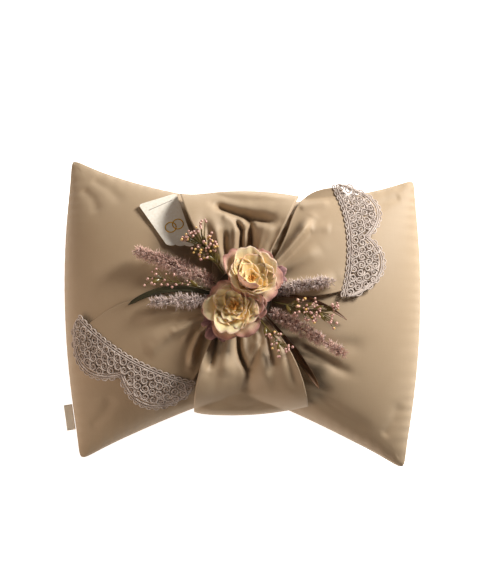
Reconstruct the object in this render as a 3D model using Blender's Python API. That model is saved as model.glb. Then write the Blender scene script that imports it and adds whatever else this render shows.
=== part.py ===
"""Ring bearer pillow, lying on its back: a stuffed two-panel cushion, gathered at the waist by a
sash tied in a bow, with guipure lace on the bow's tails, a spray of two silk flowers with plumes,
berry sprigs and strap leaves over the knot, a swivelling hang tag and a folded side label.

Metres. +Z is up, away from the surface that the pillow lies on, +X runs along the pillow's long side
and +Y towards the hang tag's edge. The origin is on the floor, under the middle of the pillow.
"""

import math

import bmesh
import bpy
import numpy as np
from mathutils import Matrix, Vector

# Pillow: u runs from -1 at the left side to 1 at the right, v from -1 at the bottom edge to 1 at the top.
HALF_WIDTH = 0.1845
HALF_LENGTH = 0.1635
TOP_LEFT_SHIFT = np.array([-0.0088, 0.0085])
TOP_RIGHT_SHIFT = np.array([0.0092, -0.0150])
BOTTOM_LEFT_SHIFT = np.array([0.0087, 0.0015])
BOTTOM_RIGHT_SHIFT = np.array([-0.0093, -0.0085])
SIDE_BULGE = 0.0135
TOP_PINCH = 0.036
BOTTOM_PINCH = 0.073
PINCH_ROUND = 0.06
SEAM_Z = 0.050
CROWN = 0.063
WAIST_DIP = 0.40
WAIST_SPREAD = 0.28
SHELL = 0.0010
SEAM_GAP = 0.0003
STUFFING_GAP = 0.0010
GRID_V = 12
DRAPE_LIMIT = 0.965
RIM_DEPTH = 0.001
NORMAL_STEP = 0.006

# Sash: a band round the waist, a knot on it, two loops and two tails.
BAND_HALF_U = 0.158
BAND_CLEAR = 0.0008
BAND_CLOTH = 0.0020
SASH_CLOTH = 0.0015
FIT_GAP = 0.0004
BOW_X, BOW_Y = 0.0017, 0.010
KNOT_RADIUS = 0.024
KNOT_HEIGHT = 0.0140
KNOT_CLEAR = 0.0008
KNOT_DOME = 0.0045
LOOP_LIFT = 0.0065
LOOP_MOUTH = 0.0050
LOOP_PUFF = 0.024
LOOP_NECK_ANGLE = math.radians(31)
TOP_LOOP_REACH = 0.120
TOP_LOOP_END_Z = 0.075
BOTTOM_LOOP_REACH = 0.125
BOTTOM_LOOP_END_Z = 0.066
TAIL_LIFT = 0.0024
TAIL_STEP = 0.0022
TAIL_STEP_FROM = 0.004
TAIL_STEP_RUN = 0.012

# Lace: the inner edge's two corners on each tail, counted from the bow's middle.
LEFT_LACE_FROM = np.array([-0.169, -0.028])
LEFT_LACE_TO = np.array([-0.055, -0.091])
RIGHT_LACE_FROM = np.array([0.107, 0.009])
RIGHT_LACE_TO = np.array([0.101, 0.1255])
LACE_BOW = 0.009
LACE_SET_IN = 0.008
LACE_THICK = 0.0012
LACE_VALLEY = 0.022
LACE_SCALLOP = 0.018
LACE_OVERHANG = 0.09

# Spray.
BASE_RADIUS = 0.030
BASE_THICK = 0.0020
FLOWER_OFFSET = 0.0155
FLOWER_HEADING = math.radians(63)
FLOWER_TILT = math.radians(20)
PETAL_THICK = 0.0010
PETAL_HOLE = 0.0025
CALYX_RADIUS = 0.0050
CALYX_HEIGHT = 0.0030
STEM_RADIUS = 0.0009
PLUME_ARCH = 0.005
SPRIG_ARCH = 0.003
BERRY_RADIUS = 0.0021
LEAF_THICK = 0.0008

# Hang tag and side label.
TAG_THICK = 0.0008
TAG_CLEAR = 0.0014
TAG_REST = (-0.0893, 0.0900)
TAG_LOWER_LEFT = np.array([-0.0813, 0.0660])
TAG_LOWER_RIGHT = np.array([-0.0513, 0.0645])
TAG_UPPER_LEFT = np.array([-0.1133, 0.1120])
TAG_UPPER_RIGHT = np.array([-0.0723, 0.1260])
TAG_WAVES = 3
TAG_WAVE = 0.0012
PIN_AT = (-0.0613, 0.0720)
PIN_RADIUS = 0.0010
PIN_HOLE_RADIUS = 0.0016
PIN_HEAD_RADIUS = 0.0026
PIN_HEAD_THICK = 0.0010
PIN_FOOT_CLEAR = 0.0006
PIN_REACH = 0.020
LABEL_V = -0.73
LABEL_LENGTH = 0.028
LABEL_REACH = 0.0110
LABEL_THICK = 0.0012
LABEL_CLEAR = 0.0008
SEAM_STEP = 0.05


# Meshes from grids of points.

def mix(a, b, t):
    return a + (b - a) * t


def smooth(t):
    """Eases from 0 to 1 as t goes from 0 to 1."""
    t = np.clip(t, 0.0, 1.0)
    return t * t * (3.0 - 2.0 * t)


def material(name, colour, roughness, metallic=0.0):
    made = bpy.data.materials.get(name)
    if made is None:
        made = bpy.data.materials.new(name)
        made.use_nodes = True
        shader = made.node_tree.nodes["Principled BSDF"]
        shader.inputs["Base Color"].default_value = (*colour, 1.0)
        shader.inputs["Roughness"].default_value = roughness
        shader.inputs["Metallic"].default_value = metallic
    return made


def cloth():
    return material("sash_satin", (0.44, 0.33, 0.21), 0.55)


def solid(name, points, faces, finish):
    """One named object from points and faces that all turn the same way, with its doubles merged."""
    data = bpy.data.meshes.new(name)
    data.from_pydata([tuple(p) for p in points], [], [tuple(f) for f in faces])
    data.materials.append(finish)
    made = bpy.data.objects.new(name, data)
    bpy.context.scene.collection.objects.link(made)
    with_faces_out(data)
    data.shade_smooth()
    data.set_sharp_from_angle(angle=math.radians(35))
    return made


def with_faces_out(data):
    """Merges points that coincide and, if the volume inside reads negative, reverses every face."""
    work = bmesh.new()
    work.from_mesh(data)
    bmesh.ops.remove_doubles(work, verts=work.verts, dist=1e-6)
    bmesh.ops.dissolve_degenerate(work, edges=work.edges, dist=1e-7)
    if work.calc_volume(signed=True) < 0:
        bmesh.ops.reverse_faces(work, faces=work.faces)
    work.to_mesh(data)
    work.free()


def slab(name, upper, lower, finish, ring=False):
    """A closed solid between two grids of points. Each cell is split along the same diagonal, so
    skins made on the same grid lie on each other without crossing. A ring joins its first and last row."""
    rows, columns = upper.shape[:2]
    count = rows * columns
    index = np.arange(count).reshape(rows, columns)
    if ring:
        index = np.vstack([index, index[:1]])
    a, b = index[:-1, :-1].ravel(), index[1:, :-1].ravel()
    c, d = index[1:, 1:].ravel(), index[:-1, 1:].ravel()
    top = np.concatenate([np.stack([a, b, c], 1), np.stack([a, c, d], 1)])
    rims = [index[:, 0], index[::-1, -1]]
    if not ring:
        rims = [index[:, 0], index[-1, :], index[::-1, -1], index[0, ::-1]]
    sides = []
    for rim in rims:
        first, second = rim[:-1], rim[1:]
        sides.append(np.stack([second, first, first + count], 1))
        sides.append(np.stack([second, first + count, second + count], 1))
    faces = np.concatenate([top, top[:, ::-1] + count, *sides])
    points = np.concatenate([upper.reshape(-1, 3), lower.reshape(-1, 3)])
    return solid(name, points, faces.tolist(), finish)


def along_normals(points, distance, ring=False):
    """The grid moved by a distance along its own normals."""
    if ring:
        down = np.roll(points, -1, 0) - np.roll(points, 1, 0)
    else:
        down = np.gradient(points, axis=0)
    across = np.gradient(points, axis=1)
    normal = np.cross(down, across)
    normal /= np.linalg.norm(normal, axis=2, keepdims=True)
    return points + distance * normal


def sheet(name, points, thickness, finish, ring=False):
    """A closed solid of one thickness about a grid of points."""
    half = thickness / 2
    return slab(name, along_normals(points, half, ring), along_normals(points, -half, ring), finish, ring)


def draped(name, plan, lift, thickness, finish):
    """A sheet that lies on the pillow: plan is a grid of x, y, and lift the gap under it."""
    x, y = plan[..., 0], plan[..., 1]
    return sheet(name, np.dstack([x, y, front_z(x, y, lift + thickness / 2)]), thickness, finish)


def spindle(name, path, radii, sides, finish):
    """A closed round body along a path, with its own radius at each point."""
    path = np.asarray(path, float)
    step = np.gradient(path, axis=0)
    step /= np.linalg.norm(step, axis=1, keepdims=True)
    aside = np.cross(step, (0.0, 0.0, 1.0))
    if np.linalg.norm(aside, axis=1).min() < 0.2:
        aside = np.cross(step, (1.0, 0.0, 0.0))
    aside /= np.linalg.norm(aside, axis=1, keepdims=True)
    over = np.cross(aside, step)
    turn = np.arange(sides) * 2 * math.pi / sides
    ring = np.cos(turn)[None, :, None] * aside[:, None] + np.sin(turn)[None, :, None] * over[:, None]
    points = path[:, None] + ring * np.asarray(radii)[:, None, None]
    rows = len(path)
    faces = []
    for row in range(rows - 1):
        for side in range(sides):
            after = (side + 1) % sides
            low, high = row * sides, (row + 1) * sides
            faces.append((low + side, low + after, high + after, high + side))
    faces.append(tuple(reversed(range(sides))))
    faces.append(tuple((rows - 1) * sides + side for side in range(sides)))
    return solid(name, points.reshape(-1, 3), faces, finish)


def bezier(start, bend, end, count):
    """Points on a quadratic curve."""
    t = np.linspace(0, 1, count)[:, None]
    start, bend, end = (np.asarray(p, float) for p in (start, bend, end))
    return (1 - t) ** 2 * start + 2 * t * (1 - t) * bend + t * t * end


# The pillow's own shape, which everything on it follows.

def corners():
    """The four corners in plan: bottom left, bottom right, top left, top right."""
    size = np.array([HALF_WIDTH, HALF_LENGTH])
    return (
        size * (-1, -1) + BOTTOM_LEFT_SHIFT,
        size * (1, -1) + BOTTOM_RIGHT_SHIFT,
        size * (-1, 1) + TOP_LEFT_SHIFT,
        size * (1, 1) + TOP_RIGHT_SHIFT,
    )


def pillow_plan(u, v, inset=0.0):
    """x and y at u, v: sides that swell between the corners, top and bottom edges drawn in at the waist."""
    bottom_left, bottom_right, top_left, top_right = corners()
    rise, run = (v + 1) / 2, (u + 1) / 2
    swell = SIDE_BULGE * (1 - v * v)
    left = mix(bottom_left[0], top_left[0], rise) - swell + inset
    right = mix(bottom_right[0], top_right[0], rise) + swell - inset
    away = (np.sqrt(u * u + PINCH_ROUND ** 2) - PINCH_ROUND) / (math.sqrt(1 + PINCH_ROUND ** 2) - PINCH_ROUND)
    bottom = mix(bottom_left[1], bottom_right[1], run) + BOTTOM_PINCH * (1 - away ** 1.15) + inset
    top = mix(top_left[1], top_right[1], run) - TOP_PINCH * (1 - away ** 1.9) - inset
    return mix(left, right, run), mix(bottom, top, rise)


def pillow_height(u, v, inset=0.0):
    """Half thickness at u, v: a crown that falls to the seam, lower across the waist."""
    waist = 1 - WAIST_DIP * np.exp(-((u / WAIST_SPREAD) ** 2))
    round_off = np.clip((1 - u * u) * (1 - v * v), 0, None) ** 0.425
    return (CROWN * waist - inset) * round_off


def front_z(x, y, lift=0.0):
    """Height, over x, y, of a skin that lies a lift outside the pillow's front. It is found by
    stepping u, v until they land at x, y. Past DRAPE_LIMIT it stays level, because cloth and lace are
    too stiff to turn down into the seam."""
    x, y = np.asarray(x, float), np.asarray(y, float)
    u, v = x / HALF_WIDTH, y / HALF_LENGTH
    for _ in range(30):
        at_x, at_y = pillow_plan(u, v, -lift)
        u = np.clip(u + (x - at_x) / HALF_WIDTH, -DRAPE_LIMIT, DRAPE_LIMIT)
        v = np.clip(v + (y - at_y) / HALF_LENGTH, -DRAPE_LIMIT, DRAPE_LIMIT)
    return SEAM_Z + pillow_height(u, v) + lift


def front_normal(x, y):
    """Unit normal of the pillow's front over x, y."""
    step = NORMAL_STEP
    slope_x = (front_z(x + step, y) - front_z(x - step, y)) / (2 * step)
    slope_y = (front_z(x, y + step) - front_z(x, y - step)) / (2 * step)
    return Vector((-slope_x, -slope_y, 1.0)).normalized()


def grid_uv():
    """The u columns and v rows of the pillow's grid: closer towards the seam, the band's edges on
    columns."""
    edge = math.asin(BAND_HALF_U)
    outer = np.sin(np.linspace(edge, math.pi / 2, 8))
    half = np.concatenate([[BAND_HALF_U / 2], outer])
    columns = np.concatenate([-half[::-1], [0.0], half])
    rows = np.sin(np.linspace(-math.pi / 2, math.pi / 2, GRID_V + 1))
    return np.meshgrid(columns, rows)


def skin(u, v, inset, front):
    """The front or back surface as a grid of points. The back is flat where it would pass the floor."""
    x, y = pillow_plan(u, v, inset)
    height = pillow_height(u, v, inset)
    if front:
        return np.dstack([x, y, SEAM_Z + height])
    return np.dstack([x, y, np.maximum(SEAM_Z - height, inset)])


def pillow():
    u, v = grid_uv()
    satin = cloth()
    rim = np.array([0, 0, SEAM_GAP / 2])
    for name, front in (("pillow_front_panel", True), ("pillow_back_panel", False)):
        apart = rim if front else -rim
        if not front:
            apart = np.where(skin(u, v, 0, False)[..., 2:] > SEAM_Z - RIM_DEPTH, apart, 0)
        slab(name, skin(u, v, 0, front) + apart, skin(u, v, SHELL, front) + apart, satin)
    wadding = SHELL + STUFFING_GAP
    white = material("wadding", (0.80, 0.79, 0.76), 0.9)
    slab("pillow_insert", skin(u, v, wadding, True) + rim, skin(u, v, wadding, False), white)


def side_label():
    """A folded tape caught in the left seam, standing out from it."""
    x, y = pillow_plan(-1.0, LABEL_V)
    x_up, y_up = pillow_plan(-1.0, LABEL_V + SEAM_STEP)
    seam = Vector((x_up - x, y_up - y, 0)).normalized()
    out = Vector((-seam.y, seam.x, 0))
    middle = Vector((x, y, SEAM_Z)) + out * (LABEL_CLEAR + LABEL_REACH / 2)
    half = np.array([LABEL_REACH, LABEL_LENGTH, LABEL_THICK]) / 2
    points = [
        middle + out * half[0] * a + seam * half[1] * b + Vector((0, 0, half[2] * c))
        for a in (-1, 1) for b in (-1, 1) for c in (-1, 1)
    ]
    faces = [(0, 1, 3, 2), (4, 6, 7, 5), (0, 4, 5, 1), (2, 3, 7, 6), (0, 2, 6, 4), (1, 5, 7, 3)]
    label = solid("side_label", points, faces, material("label_tape", (0.78, 0.73, 0.64), 0.8))
    round_over = label.modifiers.new("fold", "BEVEL")
    round_over.width = LABEL_THICK * 0.3
    round_over.segments = 2


# The sash.

def waist_band():
    """A closed ring of cloth round the waist, on the pillow's own grid."""
    u, v = grid_uv()
    held = np.abs(u[0]) < BAND_HALF_U + 1e-6
    u, v = u[:, held], v[:, held]

    def loop(inset):
        front, back = skin(u, v, inset, True), skin(u, v, inset, False)
        back[..., 2] = 2 * SEAM_Z - front[..., 2]
        return np.concatenate([front, back[-2:0:-1]])

    slab("waist_band", loop(-BAND_CLEAR - BAND_CLOTH), loop(-BAND_CLEAR), cloth(), ring=True)


def band_top(x, y):
    """Height of the band's outer face over x, y."""
    return front_z(x, y, BAND_CLEAR + BAND_CLOTH)


def knot_top():
    return float(band_top(BOW_X, BOW_Y)) + KNOT_CLEAR + KNOT_HEIGHT


def bow_knot():
    """A wrapped knot: its underside follows the band, its top is a low dome."""
    turn = np.linspace(0, 2 * math.pi, 21)[:-1]
    share = np.array([0.05, 0.35, 0.62, 0.84, 1.0])
    radius = KNOT_RADIUS * share
    x = BOW_X + np.outer(np.cos(turn), radius)
    y = BOW_Y + np.outer(np.sin(turn), radius)
    under = band_top(x, y) + KNOT_CLEAR
    over = knot_top() - KNOT_DOME * share ** 3 * np.ones_like(x)
    slab("bow_knot", np.dstack([x, y, over]), np.dstack([x, y, under]), cloth(), ring=True)


def on_circle(angle, radius):
    """x, y at an angle and distance from the bow's middle."""
    return np.stack([BOW_X + np.cos(angle) * radius, BOW_Y + np.sin(angle) * radius], -1)


def bow_loop(name, heading, half_angle, reach, end_z):
    """Cloth that runs out from the knot close over the pillow, round a fold, and back above itself."""
    turn = np.linspace(0, 2 * math.pi, 21)
    run = (1 - np.cos(turn)) / 2
    upper = turn > math.pi + 1e-6
    share = np.linspace(-1, 1, 11)
    spread = mix(LOOP_NECK_ANGLE, half_angle, np.sqrt(run))
    angle = heading + spread[:, None] * share
    start = KNOT_RADIUS + FIT_GAP + SASH_CLOTH / 2
    end = reach / np.cos(angle - heading) ** 0.6
    plan = on_circle(angle, start + (end - start) * run[:, None])
    bed = front_z(plan[..., 0], plan[..., 1], LOOP_LIFT)
    line = mix(bed[0].mean(), end_z, run)[:, None]
    low = np.maximum(bed, line)
    rise = LOOP_MOUTH + (LOOP_PUFF - LOOP_MOUTH) * smooth(run / 0.62)
    rise = rise * np.sqrt(np.clip(1 - run ** 4, 0, None)) * upper
    sheet(name, np.dstack([plan, low + rise[:, None]]), SASH_CLOTH, cloth())


def lace_edge(start, end, share):
    """A point on the lace's inner edge, which bows out between its corners, and the way out from it."""
    along = end - start
    out = np.array([along[1], -along[0]]) / np.linalg.norm(along)
    if np.dot(out, start + end) < 0:
        out = -out
    bow = 4 * LACE_BOW * share * (1 - share)
    return np.array([BOW_X, BOW_Y]) + start + np.outer(share, along) + np.outer(bow, out), out


def tail(name, start, end):
    """A fan of cloth from the knot to a little past the lace's inner edge, stepped up over the band."""
    share, run = np.linspace(0, 1, 12), np.linspace(0, 1, 9)
    edge, out = lace_edge(start, end, share)
    far = edge + out * LACE_SET_IN
    angle = np.unwrap(np.arctan2(far[:, 1] - BOW_Y, far[:, 0] - BOW_X))
    near = on_circle(angle, KNOT_RADIUS + FIT_GAP)
    plan = near[None] + (far - near)[None] * run[:, None, None]
    band_edge = BAND_HALF_U * HALF_WIDTH
    past_edge = np.abs(plan[..., 0]) - band_edge - TAIL_STEP_FROM
    on_band = 1 - smooth(past_edge / TAIL_STEP_RUN)
    draped(name, plan, TAIL_LIFT + TAIL_STEP * on_band, SASH_CLOTH, cloth())


def lace(name, start, end):
    """A band of guipure with two deep scallops along its outer edge, sewn edge to edge to the tail's end."""
    share = np.linspace(-LACE_OVERHANG, 1 + LACE_OVERHANG / 3, 25)
    edge, out = lace_edge(start, end, share)
    whole = np.linspace(0, 1, len(share))
    width = LACE_VALLEY + LACE_SCALLOP * np.abs(np.sin(2 * math.pi * whole)) ** 0.8
    width *= np.sqrt(1 - np.abs(2 * whole - 1) ** 8 * 0.75)
    run = np.linspace(0, 1, 4)
    inner = LACE_SET_IN + FIT_GAP
    plan = edge[None] + out * (inner + (width[None, :, None] - inner) * run[:, None, None])
    lift = TAIL_LIFT + (SASH_CLOTH - LACE_THICK) / 2
    draped(name, plan, lift, LACE_THICK, material("guipure", (0.46, 0.37, 0.33), 0.85))


# The spray.

def base_top():
    return knot_top() + FIT_GAP + BASE_THICK


def spray_base():
    """The felt disc that the flowers and stems are glued to, on the knot."""
    low = knot_top() + FIT_GAP
    path = [(BOW_X, BOW_Y, low), (BOW_X, BOW_Y, low + BASE_THICK)]
    spindle("spray_base", path, [BASE_RADIUS, BASE_RADIUS], 32, material("felt", (0.16, 0.15, 0.07), 0.95))


def petal_cup(name, place, level, radius, height, lobes, lean, inner_cut, finish):
    """A ring of petals as one cup: radius and height at the rim, wavy by its lobes, smaller on the
    side that faces the other flower."""
    turn = np.linspace(0, 2 * math.pi, 21)[:-1]
    run = np.linspace(0, 1, 5)
    facing = np.clip(np.cos(turn - lean), 0, None) ** 1.5
    rim = radius * (1 + 0.05 * np.cos(lobes * turn)) * (1 - inner_cut * facing)
    distance = PETAL_HOLE + (rim - PETAL_HOLE)[:, None] * run
    rise = level + height * run ** 2.2 * np.ones_like(distance)
    flat = np.dstack([np.cos(turn)[:, None] * distance, np.sin(turn)[:, None] * distance, rise])
    turned = flat @ np.array(place.to_3x3()).T + np.array(place.translation)
    sheet(name, turned, PETAL_THICK, finish, ring=True)


def flower(name, side, petal, edge):
    """A flower head on its calyx, leaning away from the other one. side is 1 or -1 along FLOWER_HEADING."""
    way = Vector((math.cos(FLOWER_HEADING), math.sin(FLOWER_HEADING), 0)) * side
    foot_z = base_top() + FIT_GAP + CALYX_RADIUS * math.sin(FLOWER_TILT)
    foot = Vector((BOW_X, BOW_Y, foot_z)) + way * FLOWER_OFFSET
    tip_over = Matrix.Rotation(FLOWER_TILT, 4, Vector((-way.y, way.x, 0)))
    place = Matrix.Translation(foot) @ tip_over
    toward_other = math.atan2(-way.y, -way.x)
    calyx_path = [place @ Vector((0, 0, h * CALYX_HEIGHT)) for h in (0.0, 0.5, 1.0)]
    green = material("calyx_green", (0.18, 0.20, 0.07), 0.8)
    spindle(name + "_calyx", calyx_path, [CALYX_RADIUS * 0.8, CALYX_RADIUS, CALYX_RADIUS * 0.7], 12, green)
    step = PETAL_THICK + FIT_GAP
    level = CALYX_HEIGHT + FIT_GAP + PETAL_THICK / 2
    rings = (
        ("_outer_petals", 0.033, 0.012, 7, 0.45, edge),
        ("_middle_petals", 0.025, 0.020, 6, 0.32, petal),
        ("_inner_petals", 0.015, 0.020, 5, 0.10, petal),
    )
    for ring, radius, height, lobes, inner_cut, finish in rings:
        petal_cup(name + ring, place, level, radius, height, lobes, toward_other, inner_cut, finish)
        level += step
    low = level - step / 2 + FIT_GAP
    heart_path = [place @ Vector((0, 0, low + h)) for h in (0.0, 0.002, 0.006, 0.009, 0.010)]
    gold = material("stamen_gold", (0.62, 0.42, 0.12), 0.7)
    spindle(name + "_stamens", heart_path, [0.0022, 0.0038, 0.0052, 0.0038, 0.0012], 10, gold)


def rim_point(angle_deg, half_thick):
    """Where a stem or leaf starts: just clear of the felt disc's rim, at its height."""
    angle = math.radians(angle_deg)
    x, y = on_circle(angle, BASE_RADIUS + FIT_GAP + 0.7 * half_thick)
    return np.array([x, y, base_top() - BASE_THICK / 2])


def over_front(x, y, lift):
    """A point at x, y from the bow's middle, a lift above the pillow there."""
    return np.array([BOW_X + x, BOW_Y + y, front_z(BOW_X + x, BOW_Y + y) + lift])


def plume(name, root_deg, tip, tip_lift, thick, colour):
    """A grass plume on a bare stalk: a spindle with whorls, from the felt disc out over the cloth."""
    start, end = rim_point(root_deg, STEM_RADIUS), over_front(*tip, tip_lift)
    bend = mix(start, end, 0.45)
    bend[2] = max(start[2], end[2]) + PLUME_ARCH
    path = bezier(start, bend, end, 14)
    share = np.linspace(0, 1, 14)
    full = np.sin(np.clip((share - 0.08) / 0.92, 0, 1) ** 0.6 * math.pi) ** 0.8
    whorl = 1 - 0.16 * (np.arange(14) % 2)
    radii = STEM_RADIUS + thick * np.clip(full, 0, None) * whorl
    spindle(name, path, radii, 8, material(name + "_bloom", colour, 0.9))


def berry_sprig(name, root_deg, tip, tip_lift, count, reach, colour):
    """A stem with side twigs, each ending in a berry, joined into one body."""
    start, end = rim_point(root_deg, STEM_RADIUS), over_front(*tip, tip_lift)
    bend = mix(start, end, 0.5)
    bend[2] = max(start[2], end[2]) + SPRIG_ARCH
    path = bezier(start, bend, end, 9)
    finish = material(name + "_berries", colour, 0.5)
    radii = np.full(9, STEM_RADIUS)
    radii[-2:] = BERRY_RADIUS, BERRY_RADIUS * 0.4
    stem = spindle(name, path, radii, 6, finish)
    aside = np.cross((end - start) / np.linalg.norm(end - start), (0, 0, 1))
    for k in range(count):
        share = 0.42 + 0.5 * k / count
        root = mix(start, end, share) * (1, 1, 0)
        root[2] = np.interp(share, np.linspace(0, 1, 9), path[:, 2])
        side = 1 if k % 2 else -1
        out = aside * side * reach * (0.75 + 0.25 * math.cos(2.4 * k))
        ahead = (end - start) / np.linalg.norm(end - start) * reach * 0.6
        berry = root + out + ahead + np.array([0, 0, 0.001 + 0.002 * (k % 3)])
        line = np.array([mix(root, berry, t) for t in (0, 0.5, 0.84, 0.93, 1.03, 1.12)])
        widths = [0.5 * STEM_RADIUS, 0.6 * STEM_RADIUS, 0.6 * STEM_RADIUS, BERRY_RADIUS, BERRY_RADIUS,
                  0.4 * BERRY_RADIUS]
        twig = spindle(f"{name}_twig_{k}", line, widths, 6, finish)
        twig.hide_render = True
        twig.display_type = "WIRE"
        join = stem.modifiers.new(f"twig_{k}", "BOOLEAN")
        join.operation = "UNION"
        join.object = twig


def strap_leaf(name, root_deg, points, half_width, lift, colour):
    """A long thin leaf: a ribbon along a curve through points over the cloth, pointed at its tip."""
    start = rim_point(root_deg, LEAF_THICK / 2)
    bend, end = (over_front(*p, lift) for p in points)
    path = bezier(start, 2 * bend - (start + end) / 2, end, 12)
    lowest = front_z(path[:, 0], path[:, 1]) + lift
    path[:, 2] = np.maximum(path[:, 2], lowest)
    share = np.linspace(0, 1, 12)
    step = np.gradient(path, axis=0)
    aside = np.cross(step, (0, 0, 1.0))
    aside /= np.linalg.norm(aside, axis=1, keepdims=True)
    width = half_width * (0.25 + 0.75 * np.sin(math.pi * np.clip(share, 0.05, 0.97)) ** 0.7)
    across = np.linspace(-1, 1, 3)
    grid = path[:, None] + aside[:, None] * (width[:, None, None] * across[None, :, None])
    sheet(name, grid, LEAF_THICK, material(name + "_green", colour, 0.7))


def floret(name, root_deg, reach, half_width, colour):
    """A loose mauve petal that shows from under a flower."""
    angle = math.radians(root_deg)
    out = np.array([math.cos(angle), math.sin(angle), 0])
    aside = np.array([-out[1], out[0], 0])
    start = rim_point(root_deg, LEAF_THICK / 2)
    share = np.linspace(0, 1, 8)
    width = half_width * np.sin(math.pi * np.clip(share, 0.08, 0.94)) ** 0.6
    rise = 0.0015 * np.sin(math.pi * share)
    spine = start + np.outer(share * reach, out) + np.outer(rise, (0, 0, 1))
    across = np.linspace(-1, 1, 5)
    grid = spine[:, None] + aside * (width[:, None, None] * across[None, :, None])
    sheet(name, grid, LEAF_THICK, material("floret_mauve", colour, 0.85))


# Hang tag.

def tag_plane():
    """A point and the normal of the card's underside: flat over the highest stretch that it lies on."""
    normal = front_normal(*TAG_REST)
    point = Vector((*TAG_REST, float(front_z(*TAG_REST)))) + normal * TAG_CLEAR
    return point, normal


def on_tag(x, y):
    """Height of the card's underside over x, y."""
    point, normal = tag_plane()
    return point.z - (normal.x * (x - point.x) + normal.y * (y - point.y)) / normal.z


def hang_tag():
    """A card with a wavy lower edge and a hole for its pin."""
    share_x, share_y = np.meshgrid(np.linspace(0, 1, 13), np.linspace(0, 1, 3))
    low = mix(TAG_LOWER_LEFT, TAG_LOWER_RIGHT, share_x[..., None])
    high = mix(TAG_UPPER_LEFT, TAG_UPPER_RIGHT, share_x[..., None])
    plan = mix(low, high, share_y[..., None])
    plan[..., 1] -= TAG_WAVE * np.abs(np.sin(TAG_WAVES * math.pi * share_x)) * (share_y == 0)
    normal = tag_plane()[1]
    under = np.dstack([plan, on_tag(plan[..., 0], plan[..., 1])])
    over = under + TAG_THICK * np.array(normal)
    card = slab("hang_tag", over, under, material("ivory_card", (0.87, 0.84, 0.78), 0.6))
    hole = card.modifiers.new("pin_hole", "BOOLEAN")
    middle = Vector((*PIN_AT, float(on_tag(*PIN_AT))))
    path = [middle + normal * h for h in (-0.004, 0.004)]
    cutter = spindle("pin_hole_cutter", path, [PIN_HOLE_RADIUS] * 2, 16, cloth())
    cutter.hide_render = True
    cutter.display_type = "WIRE"
    hole.object = cutter
    hole.operation = "DIFFERENCE"


def tag_pin():
    """A headed pin from the cloth up through the card's hole."""
    _, normal = tag_plane()
    card = Vector((*PIN_AT, float(on_tag(*PIN_AT))))
    reach = np.linspace(0, PIN_REACH, 401)
    below = np.array(card) - reach[:, None] * np.array(normal)
    clear = below[:, 2] >= front_z(below[:, 0], below[:, 1], PIN_FOOT_CLEAR)
    drop = reach[clear].max()
    head = TAG_THICK + FIT_GAP
    path = [card + normal * h for h in (-drop, head, head + 1e-5, head + PIN_HEAD_THICK)]
    radii = [PIN_RADIUS, PIN_RADIUS, PIN_HEAD_RADIUS, PIN_HEAD_RADIUS]
    spindle("tag_pin", path, radii, 16, material("pin_brass", (0.55, 0.38, 0.12), 0.35, 1.0))


def clear_scene():
    for existing in list(bpy.data.objects):
        bpy.data.objects.remove(existing, do_unlink=True)


clear_scene()
pillow()
side_label()
waist_band()
bow_knot()
bow_loop("bow_loop_top", math.radians(90), math.radians(27.5), TOP_LOOP_REACH, TOP_LOOP_END_Z)
bow_loop("bow_loop_bottom", math.radians(273), math.radians(28.5), BOTTOM_LOOP_REACH, BOTTOM_LOOP_END_Z)
tail("bow_tail_left", LEFT_LACE_FROM, LEFT_LACE_TO)
tail("bow_tail_right", RIGHT_LACE_FROM, RIGHT_LACE_TO)
lace("lace_left", LEFT_LACE_FROM, LEFT_LACE_TO)
lace("lace_right", RIGHT_LACE_FROM, RIGHT_LACE_TO)
spray_base()
CREAM = material("petal_cream", (0.83, 0.76, 0.48), 0.8)
BLUSH = material("petal_blush", (0.52, 0.34, 0.31), 0.85)
flower("flower_a", 1, CREAM, BLUSH)
flower("flower_b", -1, CREAM, BLUSH)
floret("floret_lower", 224, 0.022, 0.008, (0.30, 0.17, 0.17))
floret("floret_upper", 33, 0.026, 0.009, (0.30, 0.17, 0.17))
plume("plume_left_upper", 157, (-0.112, 0.047), 0.014, 0.0070, (0.38, 0.25, 0.24))
plume("plume_left_lower", 193, (-0.095, -0.008), 0.012, 0.0062, (0.46, 0.36, 0.38))
plume("plume_right", 9, (0.094, 0.014), 0.012, 0.0062, (0.46, 0.36, 0.38))
plume("plume_lower_right", -31, (0.106, -0.062), 0.012, 0.0070, (0.42, 0.27, 0.26))
berry_sprig("berry_sprig_upper", 131, (-0.052, 0.068), 0.026, 7, 0.011, (0.55, 0.36, 0.25))
berry_sprig("berry_sprig_left", 170, (-0.101, 0.018), 0.018, 5, 0.009, (0.55, 0.36, 0.25))
berry_sprig("berry_sprig_right", -13, (0.093, -0.022), 0.018, 7, 0.010, (0.55, 0.36, 0.25))
berry_sprig("berry_sprig_lower", -56, (0.041, -0.056), 0.026, 5, 0.008, (0.60, 0.45, 0.28))
strap_leaf("strap_leaf_left", 178, ((-0.080, 0.006), (-0.122, -0.006)), 0.004, 0.0045, (0.10, 0.09, 0.04))
strap_leaf("strap_leaf_right", -3, ((0.070, -0.005), (0.109, -0.026)), 0.0025, 0.0045, (0.09, 0.06, 0.03))
strap_leaf("strap_leaf_long", -43, ((0.055, -0.061), (0.080, -0.098)), 0.004, 0.0050, (0.12, 0.07, 0.03))
hang_tag()
tag_pin()
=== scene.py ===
"""A ring bearer pillow lying on its back: cotton satin cover over a soft filling, drawn in at the waist
by a sash and bow, guipure lace on the bow's tails, and a spray of silk flowers, plumes and berries.

Metres, +Z up out of the pillow's front, +X along its long side, +Y towards the hang tag's edge.
"""

import math

import bpy
import numpy as np
from mathutils import Matrix, Vector


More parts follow.
